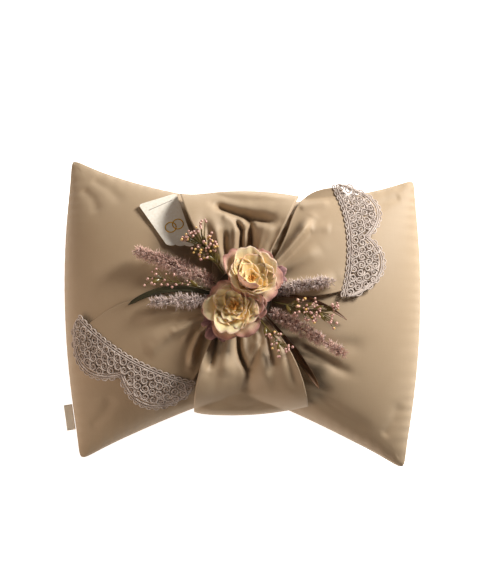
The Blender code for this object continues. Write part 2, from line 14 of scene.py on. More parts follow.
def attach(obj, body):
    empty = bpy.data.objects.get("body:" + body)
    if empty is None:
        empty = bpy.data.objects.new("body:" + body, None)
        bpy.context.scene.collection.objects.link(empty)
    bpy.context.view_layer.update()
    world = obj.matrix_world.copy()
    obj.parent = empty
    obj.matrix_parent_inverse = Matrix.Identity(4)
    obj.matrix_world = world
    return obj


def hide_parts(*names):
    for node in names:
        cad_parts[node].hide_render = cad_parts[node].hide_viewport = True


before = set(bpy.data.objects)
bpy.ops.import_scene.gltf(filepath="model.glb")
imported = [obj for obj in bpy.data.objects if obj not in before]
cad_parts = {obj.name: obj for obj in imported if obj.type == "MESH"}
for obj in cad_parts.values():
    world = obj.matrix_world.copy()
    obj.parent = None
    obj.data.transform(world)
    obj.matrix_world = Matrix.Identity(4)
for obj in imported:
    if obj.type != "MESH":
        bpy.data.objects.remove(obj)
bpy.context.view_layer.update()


# Cushion cover. Two panels of cotton satin sewn edge to edge with a plain seam, over a bag of
# polyester filling. The waist is tied in, so the panels gather towards it and stay full at the ends.

HALF_WIDTH, HALF_LENGTH = 0.1845, 0.1635
CORNERS = {
    (-1, -1): (0.0087, 0.0015), (1, -1): (-0.0093, -0.0085),
    (-1, 1): (-0.0088, 0.0085), (1, 1): (0.0092, -0.0150),
}
SIDE_SWELL = 0.0135
TOP_PINCH, BOTTOM_PINCH, PINCH_ROUND = 0.036, 0.073, 0.06
SEAM_Z, CROWN, WAIST_DIP, WAIST_SPREAD = 0.050, 0.063, 0.40, 0.28
CORNER_FULL, CORNER_ROUND = 0.034, 0.038
DRAPE_LIMIT = 0.965
BOW = np.array([0.0017, 0.0100])
BAND_SHARE = 0.158
BAND_HALF = BAND_SHARE * HALF_WIDTH
COVER_COLUMNS, COVER_ROWS = 221, 181


def mix(a, b, t):
    """From a to b as t goes from 0 to 1, in proportion."""
    return a + (b - a) * t


def smooth(t):
    """Eases from 0 to 1 as t goes from 0 to 1."""
    t = np.clip(t, 0.0, 1.0)
    return t * t * (3.0 - 2.0 * t)


def linear(code):
    """An sRGB hex colour as linear RGBA."""
    parts = [int(code[i:i + 2], 16) / 255 for i in (1, 3, 5)]
    return (*(c / 12.92 if c <= 0.04045 else ((c + 0.055) / 1.055) ** 2.4 for c in parts), 1.0)


def add(tree, kind, values=(), links=(), stops=(), **settings):
    """Adds one node: settings are its own properties, values and links go to its inputs, and stops
    are a colour ramp's (position, sRGB hex) pairs."""
    made = tree.nodes.new(kind)
    for key, value in settings.items():
        setattr(made, key, value)
    for key, value in dict(values).items():
        made.inputs[key].default_value = value
    for key, socket in dict(links).items():
        tree.links.new(socket, made.inputs[key])
    if stops:
        band = made.color_ramp.elements
        while len(band) < len(stops):
            band.new(0.5)
        for element, (position, code) in zip(band, stops):
            element.position, element.color = position, linear(code)
    return made


def finish(name, **values):
    """A material whose Principled shader has these constant values. Gives it, its tree and shader."""
    made = bpy.data.materials.new(name)
    made.use_nodes = True
    shader = made.node_tree.nodes["Principled BSDF"]
    for key, value in values.items():
        shader.inputs[key.replace("_", " ")].default_value = value
    return made, made.node_tree, shader


def woven(name, dark, middle, light, pitch, depth, **values):
    """A woven cloth: two sets of threads a pitch apart in metres on the piece's UV, which is in
    metres too, with slubs 1 mm wide and 17 mm long along both, and changes of tone some 70 mm
    across, as piece-dyed cotton satin has."""
    made, tree, shader = finish(name, **values)
    place = add(tree, "ShaderNodeUVMap").outputs["UV"]
    sides = add(tree, "ShaderNodeSeparateXYZ", links={0: place})
    threads = []
    for axis in ("X", "Y"):
        turns = add(tree, "ShaderNodeMath", {1: 2 * math.pi / pitch}, {0: sides.outputs[axis]},
                    operation="MULTIPLY")
        threads.append(add(tree, "ShaderNodeMath", links={0: turns.outputs[0]}, operation="SINE"))
    weave = add(tree, "ShaderNodeMath", links={0: threads[0].outputs[0], 1: threads[1].outputs[0]},
                operation="MULTIPLY")
    slubs = []
    for stretch in ((900, 60, 1), (60, 900, 1)):
        spread = add(tree, "ShaderNodeMapping", {"Scale": stretch}, {"Vector": place})
        slubs.append(add(tree, "ShaderNodeTexNoise", {"Scale": 1.0, "Detail": 3.0},
                         {"Vector": spread.outputs[0]}))
    slub = add(tree, "ShaderNodeMath", links={0: slubs[0].outputs[0], 1: slubs[1].outputs[0]},
               operation="ADD")
    tone = add(tree, "ShaderNodeTexNoise", {"Scale": 14.0, "Detail": 4.0}, {"Vector": place})
    share = add(tree, "ShaderNodeMath", {1: 0.12, 2: 0.155}, {0: slub.outputs[0]},
                operation="MULTIPLY_ADD")
    whole = add(tree, "ShaderNodeMath", {1: 0.45}, {0: tone.outputs[0], 2: share.outputs[0]},
                operation="MULTIPLY_ADD")
    colour = add(tree, "ShaderNodeValToRGB", links={"Fac": whole.outputs[0]},
                 stops=((0.25, dark), (0.5, middle), (0.75, light)))
    tree.links.new(colour.outputs["Color"], shader.inputs["Base Color"])
    relief = add(tree, "ShaderNodeMath", {1: 0.5}, {0: weave.outputs[0], 2: slub.outputs[0]},
                 operation="MULTIPLY_ADD")
    bump = add(tree, "ShaderNodeBump", {"Strength": 0.3, "Distance": depth},
               {"Height": relief.outputs[0]})
    tree.links.new(bump.outputs[0], shader.inputs["Normal"])
    gloss = add(tree, "ShaderNodeMapRange", {"To Min": 0.50, "To Max": 0.66},
                {"Value": tone.outputs[0]})
    tree.links.new(gloss.outputs[0], shader.inputs["Roughness"])
    return made


# Cotton satin, taupe: a soft low gloss and a faint sheen on turned edges. Its threads are 0.3 mm
# apart and too fine to show, so they are drawn 1.1 mm apart.
SATIN = woven("taupe_cotton_satin", "#a58c70", "#ab9478", "#b29c82", 0.0011, 0.00012,
              Sheen_Weight=0.18, Sheen_Roughness=0.45, Sheen_Tint=linear("#ffe8cc"),
              Specular_IOR_Level=0.35)


def mesh_of(name, points, faces, material, uv=None, tint=None):
    """A smooth-shaded object from points (n, 3) and equal-sided faces (m, k), with its UV in metres
    and its tint, a number from 0 to 1 at each point."""
    data = bpy.data.meshes.new(name)
    points, faces = np.asarray(points, np.float32), np.asarray(faces, np.int32)
    sides = faces.shape[1]
    data.vertices.add(len(points))
    data.vertices.foreach_set("co", points.ravel())
    data.loops.add(faces.size)
    data.loops.foreach_set("vertex_index", faces.ravel())
    data.polygons.add(len(faces))
    data.polygons.foreach_set("loop_start", np.arange(0, faces.size, sides, dtype=np.int32))
    data.polygons.foreach_set("use_smooth", np.ones(len(faces), bool))
    if uv is not None:
        layer = data.uv_layers.new(name="cloth")
        layer.data.foreach_set("uv", np.asarray(uv, np.float32)[faces.ravel()].ravel())
    if tint is not None:
        layer = data.attributes.new("tint", "FLOAT", "POINT")
        layer.data.foreach_set("value", np.asarray(tint, np.float32).ravel())
    data.materials.append(material)
    data.update(calc_edges=True)
    data.validate()
    made = bpy.data.objects.new(name, data)
    bpy.context.scene.collection.objects.link(made)
    return made


def grid_faces(rows, columns, wrap_rows=False, wrap_columns=False):
    """The quads of a grid of points, turned so that rows x columns gives the outside."""
    index = np.arange(rows * columns).reshape(rows, columns)
    if wrap_rows:
        index = np.vstack([index, index[:1]])
    if wrap_columns:
        index = np.hstack([index, index[:, :1]])
    a, b, c, d = index[:-1, :-1], index[1:, :-1], index[1:, 1:], index[:-1, 1:]
    return np.stack([a, d, c, b], -1).reshape(-1, 4)


def settle(piece, body, slot, *stands_for):
    """The piece moves with a body and stands for nodes. slot is not used."""
    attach(piece, body)
    if stands_for:
        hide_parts(*stands_for)


def plan(u, v, inset=0.0):
    """x and y at u, v from -1 to 1: sides that swell between the corners, and top and bottom edges
    drawn in at the waist. Near a corner the outline is rounded off."""
    size = (HALF_WIDTH, HALF_LENGTH)
    ends = {k: [k[i] * size[i] + CORNERS[k][i] for i in (0, 1)] for k in CORNERS}
    rise, run = (v + 1) / 2, (u + 1) / 2
    swell = SIDE_SWELL * (1 - v * v)
    left = mix(ends[-1, -1][0], ends[-1, 1][0], rise) - swell + inset
    right = mix(ends[1, -1][0], ends[1, 1][0], rise) + swell - inset
    away = np.sqrt(u * u + PINCH_ROUND ** 2) - PINCH_ROUND
    away = away / (math.sqrt(1 + PINCH_ROUND ** 2) - PINCH_ROUND)
    bottom = mix(ends[-1, -1][1], ends[1, -1][1], run) + BOTTOM_PINCH * (1 - away ** 1.15) + inset
    top = mix(ends[-1, 1][1], ends[1, 1][1], run) - TOP_PINCH * (1 - away ** 1.9) - inset
    return mix(left, right, run), mix(bottom, top, rise)


def half_height(u, v, inset=0.0):
    """Half the thickness at u, v: a crown that falls to the seam, lower across the waist."""
    waist = 1 - WAIST_DIP * np.exp(-((u / WAIST_SPREAD) ** 2))
    return (CROWN * waist - inset) * np.clip((1 - u * u) * (1 - v * v), 0, None) ** 0.425


def front_z(x, y, lift=0.0):
    """Height over x, y of a skin that lies a lift outside the pillow's front, found by stepping
    u, v until they land there."""
    x, y = np.asarray(x, float), np.asarray(y, float)
    u, v = x / HALF_WIDTH, y / HALF_LENGTH
    for _ in range(30):
        at_x, at_y = plan(u, v, -lift)
        u = np.clip(u + (x - at_x) / HALF_WIDTH, -DRAPE_LIMIT, DRAPE_LIMIT)
        v = np.clip(v + (y - at_y) / HALF_LENGTH, -DRAPE_LIMIT, DRAPE_LIMIT)
    return SEAM_Z + half_height(u, v) + lift


def normals_of(points):
    """Unit normals of a grid of points, rows x columns."""
    normal = np.cross(np.gradient(points, axis=1), np.gradient(points, axis=0))
    return normal / np.maximum(np.linalg.norm(normal, axis=-1, keepdims=True), 1e-12)


def folds(x, y, lines):
    """Height of folds over x, y, in mm from the bow's middle: each line is (points, half width at
    its start and at its end, height), and its profile falls off as a bell on both sides."""
    total = np.zeros_like(x)
    for points, first, last, height in lines:
        points = np.asarray(points, float)
        steps = np.linalg.norm(np.diff(points, axis=0), axis=1)
        start = np.concatenate([[0], np.cumsum(steps)])
        nearest, along = np.full_like(x, 1e9), np.zeros_like(x)
        for k, step in enumerate(steps):
            way = (points[k + 1] - points[k]) / step
            t = np.clip((x - points[k][0]) * way[0] + (y - points[k][1]) * way[1], 0, step)
            off = np.hypot(x - points[k][0] - t * way[0], y - points[k][1] - t * way[1])
            closer = off < nearest
            nearest = np.where(closer, off, nearest)
            along = np.where(closer, (start[k] + t) / start[-1], along)
        width = mix(first, last, along)
        ends = smooth(along / 0.15) * smooth((1 - along) / 0.25) * 0.85 + 0.15
        total += height * ends * np.exp(-((nearest / width) ** 2))
    return total


# Strain lines of the panels, in mm from the bow's middle: out from the tied waist, and in from the
# filled corners.
FRONT_STRAIN = (
    (((58, -52), (79, -63), (106, -77)), 3.5, 5, -2.6),
    (((60, -62), (84, -72), (120, -84)), 4, 6, -2.2),
    (((52, -80), (70, -92), (96, -104)), 4, 6, -2.0),
    (((64, -46), (96, -52), (132, -52)), 5, 9, -1.6),
    (((70, -100), (100, -122), (140, -146)), 5, 8, -1.6),
    (((150, -150), (162, -132), (170, -110)), 5, 8, -2.0),
    (((176, 118), (160, 112), (142, 100)), 5, 8, -1.5),
    (((-40, -96), (-62, -108), (-96, -122)), 4, 7, -2.4),
    (((-36, -84), (-60, -96), (-88, -116)), 3.5, 5, -1.6),
    (((-182, 126), (-168, 112), (-160, 92)), 5, 7, -1.8),
    (((-172, 138), (-150, 124), (-132, 104)), 5, 7, -1.5),
    (((-166, -140), (-150, -124), (-138, -104)), 5, 8, -1.5),
    (((-60, 84), (-84, 90), (-112, 88)), 5, 9, -1.6),
    (((60, 100), (92, 112), (124, 118)), 4, 8, -1.5),
    (((-58, 4), (-84, 12), (-116, 20)), 6, 10, -1.5),
)
BACK_STRAIN = (
    (((34, -60), (70, -74), (120, -92)), 4, 8, -2.6),
    (((34, -30), (76, -36), (126, -40)), 4, 9, -2.4),
    (((34, 6), (80, 8), (130, 10)), 4, 9, -2.2),
    (((34, 44), (76, 52), (124, 66)), 4, 9, -2.4),
    (((34, 78), (70, 90), (116, 110)), 4, 8, -2.6),
    (((-34, -66), (-74, -84), (-124, -110)), 4, 8, -2.6),
    (((-34, -34), (-72, -40), (-128, -54)), 4, 9, -2.4),
    (((-34, 0), (-80, -2), (-132, -4)), 4, 9, -2.2),
    (((-34, 38), (-78, 48), (-130, 62)), 4, 9, -2.4),
    (((-34, 76), (-72, 92), (-118, 116)), 4, 8, -2.6),
    (((170, -140), (150, -124), (132, -104)), 5, 8, -2.0),
    (((-172, 138), (-150, 120), (-132, 98)), 5, 8, -2.0),
)


# Gathers at the waist and puckers at the seam: pitches and reach in metres, depths in mm. The seam
# is a share of the plan inside it, and no fold stands further out of the crown than the last value.
GATHER_PITCH, GATHER_BEAT, GATHER_REACH, GATHER_DEEP = 0.019, 0.047, 0.030, 1.5
PUCKER_PITCH, PUCKER_DEEP, SEAM_DEEP, SEAM_IN, MOST_PROUD = 0.013, 0.45, 0.9, 0.0022, 0.8


def panel(front):
    """One panel as a grid of points and its UV: the pillow's crown on a plan whose corners are filled
    out and rounded off, with strain lines, gathers that run in to the waist, small puckers along
    the seam and the seam itself drawn in by a hair."""
    u, v = np.meshgrid(np.sin(np.linspace(-1, 1, COVER_COLUMNS) * math.pi / 2),
                       np.sin(np.linspace(-1, 1, COVER_ROWS) * math.pi / 2))
    corner = 1 + CORNER_FULL * np.abs(u * v) ** 14 - CORNER_ROUND * np.abs(u * v) ** 28
    x, y = plan(u * corner, v * corner)
    height = half_height(u, v)
    points = np.dstack([x, y, SEAM_Z + height if front else SEAM_Z - height])
    normal = normals_of(points) * (1 if front else -1)
    from_bow = (x - BOW[0]) * 1000, (y - BOW[1]) * 1000
    depth = folds(*from_bow, FRONT_STRAIN if front else BACK_STRAIN)
    beyond = np.clip(np.abs(x) - BAND_HALF, 0, None)
    fine, slow = y * 2 * math.pi / GATHER_PITCH, y * 2 * math.pi / GATHER_BEAT
    gather = np.cos(fine + 1.7 * np.sin(x * 21)) * np.cos(slow + 1)
    depth = depth - GATHER_DEEP * np.exp(-((beyond / GATHER_REACH) ** 2)) * (1 - gather)
    edge = np.minimum(1 - np.abs(u), 1 - np.abs(v))
    along = np.where(1 - np.abs(u) < 1 - np.abs(v), y, x)
    pucker = np.cos(along * 2 * math.pi / PUCKER_PITCH + 2.1 * np.sin(along * 55))
    depth = depth + PUCKER_DEEP * pucker * np.exp(-edge / 0.05) - PUCKER_DEEP
    depth = depth * smooth(edge / 0.02) - SEAM_DEEP * np.exp(-((edge / 0.004) ** 2))
    points = points + normal * (np.minimum(depth, MOST_PROUD) / 1000)[..., None]
    rim = (edge < 1e-9)[..., None]
    middle = np.dstack([x * (1 - SEAM_IN), y * (1 - SEAM_IN), np.full_like(x, SEAM_Z)])
    points = np.where(rim, middle, points)
    points[..., 2] = np.maximum(points[..., 2], 0.0)
    return points, np.dstack([x, y])


front, flat = panel(True)
back, _ = panel(False)
count = COVER_COLUMNS * COVER_ROWS
number = np.arange(count).reshape(COVER_ROWS, COVER_COLUMNS)
behind = number + count
for edge_of in ((0, slice(None)), (-1, slice(None)), (slice(None), 0), (slice(None), -1)):
    behind[edge_of] = number[edge_of]
front_faces = grid_faces(COVER_ROWS, COVER_COLUMNS)
both = np.concatenate([front_faces, behind.ravel()[front_faces][:, ::-1]])
used, both = np.unique(both, return_inverse=True)
cover = mesh_of("pillow_cover", np.concatenate([front.reshape(-1, 3), back.reshape(-1, 3)])[used],
                both.reshape(-1, 4), SATIN, np.concatenate([flat.reshape(-1, 2)] * 2)[used])
settle(cover, "pillow", "satin", "pillow_front_panel", "pillow_back_panel", "pillow_insert")


# Side label. A folded length of woven ivory tape, caught in the left seam by its two ends, with a
# row of stitches. It bends at the seam, and its CAD body turns with it.

LABEL_AT, LABEL_WAY = Vector((-0.18447, -0.11691, SEAM_Z)), Vector((-0.164121, 0.98644, 0.0))
LABEL_LONG, LABEL_REACH, LABEL_GAP, LABEL_HALF = 0.028, 0.0092, 0.0007, 0.00040
TAPE_STRAIGHT, TAPE_THICK = 0.42, 0.0003
# Woven polyester tape, ivory and nearly matt. Its threads are drawn 0.9 mm apart, coarser than real.
TAPE = woven("ivory_label_tape", "#e2d8c4", "#efe7d7", "#f6f1e6", 0.0009, 0.0001,
             Specular_IOR_Level=0.3)


def label_tape():
    """A tape that runs out from the seam, turns over a round fold and comes back: across by turn."""
    turn, across = np.meshgrid(np.linspace(0, 1, 25), np.linspace(-0.5, 0.5, 19), indexing="ij")
    bend = np.clip((turn - TAPE_STRAIGHT) / (1 - 2 * TAPE_STRAIGHT), 0, 1) * math.pi
    run = np.minimum(np.where(turn < 0.5, turn, 1 - turn) / TAPE_STRAIGHT, 1)
    away = LABEL_GAP + (LABEL_REACH - LABEL_HALF) * run + LABEL_HALF * np.sin(bend)
    above = LABEL_HALF * np.cos(bend) + 0.0002 * np.sin(across * 9) * run
    out = np.array((-LABEL_WAY.y, LABEL_WAY.x, 0))
    points = (np.array(LABEL_AT) + away[..., None] * out
              + across[..., None] * LABEL_LONG * np.array(LABEL_WAY))
    points[..., 2] += above
    return points, np.dstack([turn * 2 * LABEL_REACH, across * LABEL_LONG])


def thicken(piece, thickness, offset=0.0):
    """Gives an open sheet its cloth's thickness."""
    wall = piece.modifiers.new("cloth_thickness", "SOLIDIFY")
    wall.thickness, wall.offset = thickness, offset
    wall.use_even_offset = False
    return piece


def sheet_of(name, points, material, thickness, uv=None):
    """A sheet of cloth from a grid of points. Without its own UV it gets the lengths along the
    middle row and column."""
    rows, columns = points.shape[:2]
    if uv is None:
        down = np.linalg.norm(np.diff(points, axis=0), axis=2).mean(1)
        over = np.linalg.norm(np.diff(points, axis=1), axis=2).max(0)
        uv = np.stack(np.meshgrid(np.concatenate([[0], np.cumsum(down)]),
                                  np.concatenate([[0], np.cumsum(over)]), indexing="ij"), -1)
    made = mesh_of(name, points.reshape(-1, 3), grid_faces(rows, columns), material, uv.reshape(-1, 2))
    return thicken(made, thickness)


tape, tape_uv = label_tape()
label = sheet_of("label_tape_fold", tape, TAPE, TAPE_THICK, tape_uv)
settle(label, "label", "label_tape", "side_label")


# Waist band. A strip of the same satin pulled tight round the waist, so that it creases along its
# length; its ends meet under the knot.

BAND_LIFT, BAND_THICK, BAND_CREASE = 0.0018, 0.0010, 0.35
BAND_ROWS, BAND_COLUMNS = 110, 41


def band():
    """The ring round the waist: the pillow's own section a lift outside it, with long creases that
    wander across the strip as they go round."""
    across = np.linspace(-BAND_SHARE, BAND_SHARE, BAND_COLUMNS)
    turn = np.sin(np.linspace(-1, 1, BAND_ROWS // 2 + 1) * math.pi / 2)
    u, v = np.meshgrid(across, turn)
    x, y = plan(u, v, -BAND_LIFT)
    height = half_height(u, v, -BAND_LIFT)
    upper = np.dstack([x, y, SEAM_Z + height])
    lower = np.dstack([x, y, SEAM_Z - height])[::-1][1:-1]
    ring = np.concatenate([upper, lower])
    rows = len(ring)
    around = np.arange(rows)[:, None] / rows * 2 * math.pi
    side = across[None] / BAND_SHARE
    wide, narrow = side * 9.5 + 1.2 * np.sin(around * 2) + 0.5, side * 17 - np.sin(around * 3)
    crease = np.cos(wide) + 0.6 * np.cos(narrow)
    roll = -0.8 * np.abs(side) ** 6
    ahead = np.roll(ring, -1, 0) - np.roll(ring, 1, 0)
    normal = np.cross(np.gradient(ring, axis=1), ahead)
    normal /= np.linalg.norm(normal, axis=2, keepdims=True)
    return ring + normal * ((BAND_CREASE * crease + roll + 0.3) / 1000)[..., None]


ring = band()
lengths = np.linalg.norm(np.roll(ring, -1, 0) - ring, axis=2).mean(1)
band_uv = np.stack(np.meshgrid(np.cumsum(lengths) - lengths[0],
                               np.linspace(0, 2 * BAND_HALF, BAND_COLUMNS), indexing="ij"), -1)
waist = mesh_of("sash_band", ring.reshape(-1, 3), grid_faces(len(ring), BAND_COLUMNS, wrap_rows=True),
                SATIN, band_uv.reshape(-1, 2))
thicken(waist, BAND_THICK)
settle(waist, "pillow", "satin", "waist_band")


# Knot. The sash wrapped once round the crossing of the loops, its cloth bunched in soft ridges; the
# spray is glued over it, so only its sides show.

KNOT_RADIUS, KNOT_CLEAR, KNOT_HEIGHT, KNOT_DOME = 0.024, 0.0008, 0.0140, 0.0045
KNOT_SLIM, KNOT_SHOULDER, KNOT_RIDGES, KNOT_THICK = 0.955, 0.35, 9, 0.0010
BAND_TOP = 0.0028
knot_top = float(front_z(*BOW, BAND_TOP)) + KNOT_CLEAR + KNOT_HEIGHT


def knot():
    """A low drum: from its foot up the side and in over the top, its ridges running across it."""
    turn = np.linspace(0, 2 * math.pi, 97)[:-1]
    rise = np.linspace(0, 1, 26)
    profile = 1 - np.clip((rise - KNOT_SHOULDER) / (1 - KNOT_SHOULDER), 0, 1) ** 1.6
    shape = np.sin(np.clip(rise / 0.45, 0, 1) * math.pi / 2)
    ridge = 1 + 0.05 * np.cos(KNOT_RIDGES * turn + 0.8 * np.sin(2 * turn))
    radius = KNOT_RADIUS * KNOT_SLIM * np.maximum(profile, 0.002)[:, None]
    radius = radius * mix(1.0, ridge, (1 - rise)[:, None])
    x, y = BOW[0] + np.cos(turn) * radius, BOW[1] + np.sin(turn) * radius
    foot = front_z(x, y, BAND_TOP) + KNOT_CLEAR
    top = knot_top - 0.0004 - KNOT_DOME * (radius / KNOT_RADIUS) ** 3
    bunch = 0.0006 * np.cos(x * 900 + 2 * np.sin(y * 160)) * (rise > 0.4)[:, None]
    return np.dstack([x, y, mix(foot, top, shape[:, None]) + np.minimum(bunch, 0)])


wrap = knot()
turned = np.arctan2(wrap[..., 1] - BOW[1], wrap[..., 0] - BOW[0])
wrap_uv = np.dstack([turned * KNOT_RADIUS, wrap[..., 2]])
faces = grid_faces(*wrap.shape[:2], wrap_columns=True)
core = mesh_of("sash_knot", wrap.reshape(-1, 3), faces[:, ::-1], SATIN, wrap_uv.reshape(-1, 2))
thicken(core, KNOT_THICK, -1.0)
settle(core, "pillow", "satin", "bow_knot")


# Bow loops. Each is a length of sash folded back on itself: it runs out from the knot, turns over a
# soft edge and comes back above, pleated where the knot draws it in. Its long sides stay open.

SATIN_THICK = 0.0009
LOOP_LIFT, LOOP_MOUTH, LOOP_PUFF = 0.0065, 0.0050, 0.024
LOOP_START, LOOP_FLARE = KNOT_RADIUS + 0.0012, math.radians(28)
LOOP_ROOM, LOOP_PLEAT, LOOP_TIP = 2.2, 1.6, 1.2  # mm
LOOP_ROWS, LOOP_COLUMNS = 151, 101


def loop(heading, necks, halves, corners, reach, end_z, lines, sag):
    """A loop as a grid, turn by share: polar about the bow's middle, out and back over one turn, the
    upper layer puffed up, with pleats that start at the knot and folds of its own. necks, halves and
    corners are for its clockwise and anticlockwise side: the half angles in degrees at the knot and
    at the fold, and how far that corner is rounded off."""
    turn = np.linspace(0, 2 * math.pi, LOOP_ROWS)[:, None]
    share = np.linspace(-1, 1, LOOP_COLUMNS)[None]
    run = (1 - np.cos(turn)) / 2
    upper = smooth((turn - math.pi + 0.25) / 0.5)
    first, last = (mix(math.radians(neck), math.radians(half), run)
                   for neck, half in zip(necks, halves))
    angle = math.radians(heading) + share * np.where(share > 0, last, first)
    end = reach / np.cos(share * LOOP_FLARE) ** 0.6
    end = end - np.where(share > 0, corners[1], corners[0]) * np.abs(share) ** 9
    distance = LOOP_START + (end - LOOP_START) * run
    x, y = BOW[0] + np.cos(angle) * distance, BOW[1] + np.sin(angle) * distance
    bed = front_z(x, y, LOOP_LIFT)
    low = np.maximum(bed, mix(bed[0].mean(), end_z, run))
    rise = LOOP_MOUTH + (LOOP_PUFF - LOOP_MOUTH) * smooth(run / 0.62)
    rise = rise * np.sqrt(np.clip(1 - run ** 7, 0, None)) * upper
    at = (x - BOW[0]) * 1000, (y - BOW[1]) * 1000
    over = folds(*at, lines) - sag * (1 - share ** 2) * np.sin(math.pi * run) ** 2
    near = np.exp(-run * 3.2)
    pleats = LOOP_PLEAT * near * (np.cos(share * 15 + 1.1) + 0.5 * np.cos(share * 27 + 2.2))
    tips = -LOOP_TIP * np.abs(share) ** 10 * (1 - near)
    room = np.maximum(rise * 1000 - LOOP_ROOM, 0)
    drop = np.maximum((over + pleats + tips) * upper, -room)
    return np.dstack([x, y, low + rise + drop / 1000])


# The loops' folds, in mm from the bow's middle, as folds() takes them: below 0 is a furrow.
TOP_FOLDS = (
    (((-34, 100), (-22, 95), (-2, 88), (15, 84), (30, 80), (38, 77)), 4.0, 6.5, -13),
    (((-58, 118), (-35, 116), (0, 112), (32, 109), (56, 106)), 5, 4, 3.0),
    (((-24, 86), (-4, 79), (12, 75)), 4, 5, 3.0),
    (((-2, 30), (-3, 60), (-2, 71), (-8, 80), (-16, 85)), 2.2, 3.0, -9.0),
    (((6, 30), (8, 62), (7, 76), (2, 90)), 3.0, 4.6, -13),
    (((-10, 40), (-9, 60), (-9, 76)), 2.4, 3.5, 3.5),
    (((-16, 30), (-21, 54), (-20, 72)), 2.6, 4.5, -6.0),
    (((-28, 30), (-34, 56), (-44, 84)), 3.0, 6.5, -6.0),
    (((22, 30), (30, 54), (40, 74)), 3, 6, -4.5),
    (((14, 38), (20, 60), (30, 78)), 4.5, 8, 4.5),
    (((-24, 40), (-27, 58), (-30, 76)), 3, 5, 3.0),
)
BOTTOM_FOLDS = (
    (((-6, -28), (-5, -56), (-2, -66), (6, -84)), 2.2, 3.6, -13),
    (((4, -74), (5, -88), (4, -104)), 5, 8, -4.0),
    (((6, -82), (14, -62), (20, -44)), 3.6, 3, -5.0),
    (((-27, -30), (-32, -60), (-37, -82)), 2.6, 5, -9.0),
    (((-34, -40), (-41, -62), (-46, -84)), 3, 5, 3.0),
    (((24, -30), (30, -58), (34, -78)), 2.6, 5, -7.0),
    (((-15, -34), (-17, -56), (-18, -88)), 4, 8, 5.0),
    (((37, -36), (46, -66), (58, -102)), 3.5, 7, -4.0),
    (((-52, -118), (-20, -121), (10, -123), (62, -116)), 4, 4, 1.2),
    (((12, -46), (18, -70), (24, -96)), 4, 8, 3.5),
)
for name, shape in (
    ("top", loop(90, (32, 43), (28, 31), (0.0, -0.006), 0.120, 0.075, TOP_FOLDS, 1.0)),
    ("bottom", loop(273, (43, 44), (26.5, 27.5), (0.002, 0.0), 0.125, 0.066, BOTTOM_FOLDS, 0.6)),
):
    piece = sheet_of(f"sash_loop_{name}", shape, SATIN, SATIN_THICK)
    settle(piece, "pillow", "satin", f"bow_loop_{name}")


# Tails. Each fans out from the knot and lies on the pillow, stepping down off the band, its pleats
# dying out towards the lace.

TAIL_LIFT, TAIL_STEP, TAIL_STEP_FROM, TAIL_STEP_RUN = 0.0024, 0.0022, 0.004, 0.012
TAIL_START, TAIL_ROWS, TAIL_COLUMNS = KNOT_RADIUS + 0.0004, 111, 121
TAIL_HEM, TAIL_SINK = 0.5, 0.6  # mm
LACE_BOW, LACE_SET_IN = 0.009, 0.008
LEFT_EDGE = np.array([[-0.169, -0.028], [-0.055, -0.091]])
RIGHT_EDGE = np.array([[0.107, 0.009], [0.101, 0.1255]])


def lace_edge(ends, share):
    """Points on the lace's inner edge, which bows out between its ends, and the way out from it."""
    along = ends[1] - ends[0]
    out = np.array([along[1], -along[0]]) / np.linalg.norm(along)
    out = out if np.dot(out, ends.sum(0)) > 0 else -out
    bow = 4 * LACE_BOW * share * (1 - share)
    return BOW + ends[0] + share[..., None] * along + bow[..., None] * out, out


def tail_height(x, y):
    """The lift of a tail's cloth over x, y: a little more where it crosses the band."""
    past = np.abs(x) - BAND_HALF - TAIL_STEP_FROM
    return TAIL_LIFT + TAIL_STEP * (1 - smooth(past / TAIL_STEP_RUN))


def tail(ends, lines, spreads):
    """A fan of cloth, run by share, from the knot to a little past the lace's inner edge. Each side
    swings out on its way there: a spread is the most it turns, in degrees, and the power of the run
    that says how late."""
    run, share = np.linspace(0, 1, TAIL_ROWS)[:, None], np.linspace(0, 1, TAIL_COLUMNS)
    edge, out = lace_edge(ends, share)
    far = edge + out * LACE_SET_IN
    angle = np.unwrap(np.arctan2(far[:, 1] - BOW[1], far[:, 0] - BOW[0]))
    near = BOW + np.stack([np.cos(angle), np.sin(angle)], -1) * TAIL_START
    at = near[None] + (far - near)[None] * run[..., None] - BOW
    sides = ((1 - share) ** 3, share ** 3)
    swing = sum(math.radians(most) * side * np.sin(math.pi * run ** late)
                for (most, late), side in zip(spreads, sides))
    x = BOW[0] + at[..., 0] * np.cos(swing) - at[..., 1] * np.sin(swing)
    y = BOW[1] + at[..., 0] * np.sin(swing) + at[..., 1] * np.cos(swing)
    middle = front_z(x, y, tail_height(x, y)) + SATIN_THICK / 2
    relief = folds((x - BOW[0]) * 1000, (y - BOW[1]) * 1000, lines)
    hem = TAIL_HEM * np.exp(-((np.minimum(share, 1 - share) / 0.02) ** 2))
    fade = smooth((1 - run) / 0.10)
    return np.dstack([x, y, middle + (np.maximum(relief, -TAIL_SINK) * fade + hem) / 1000])


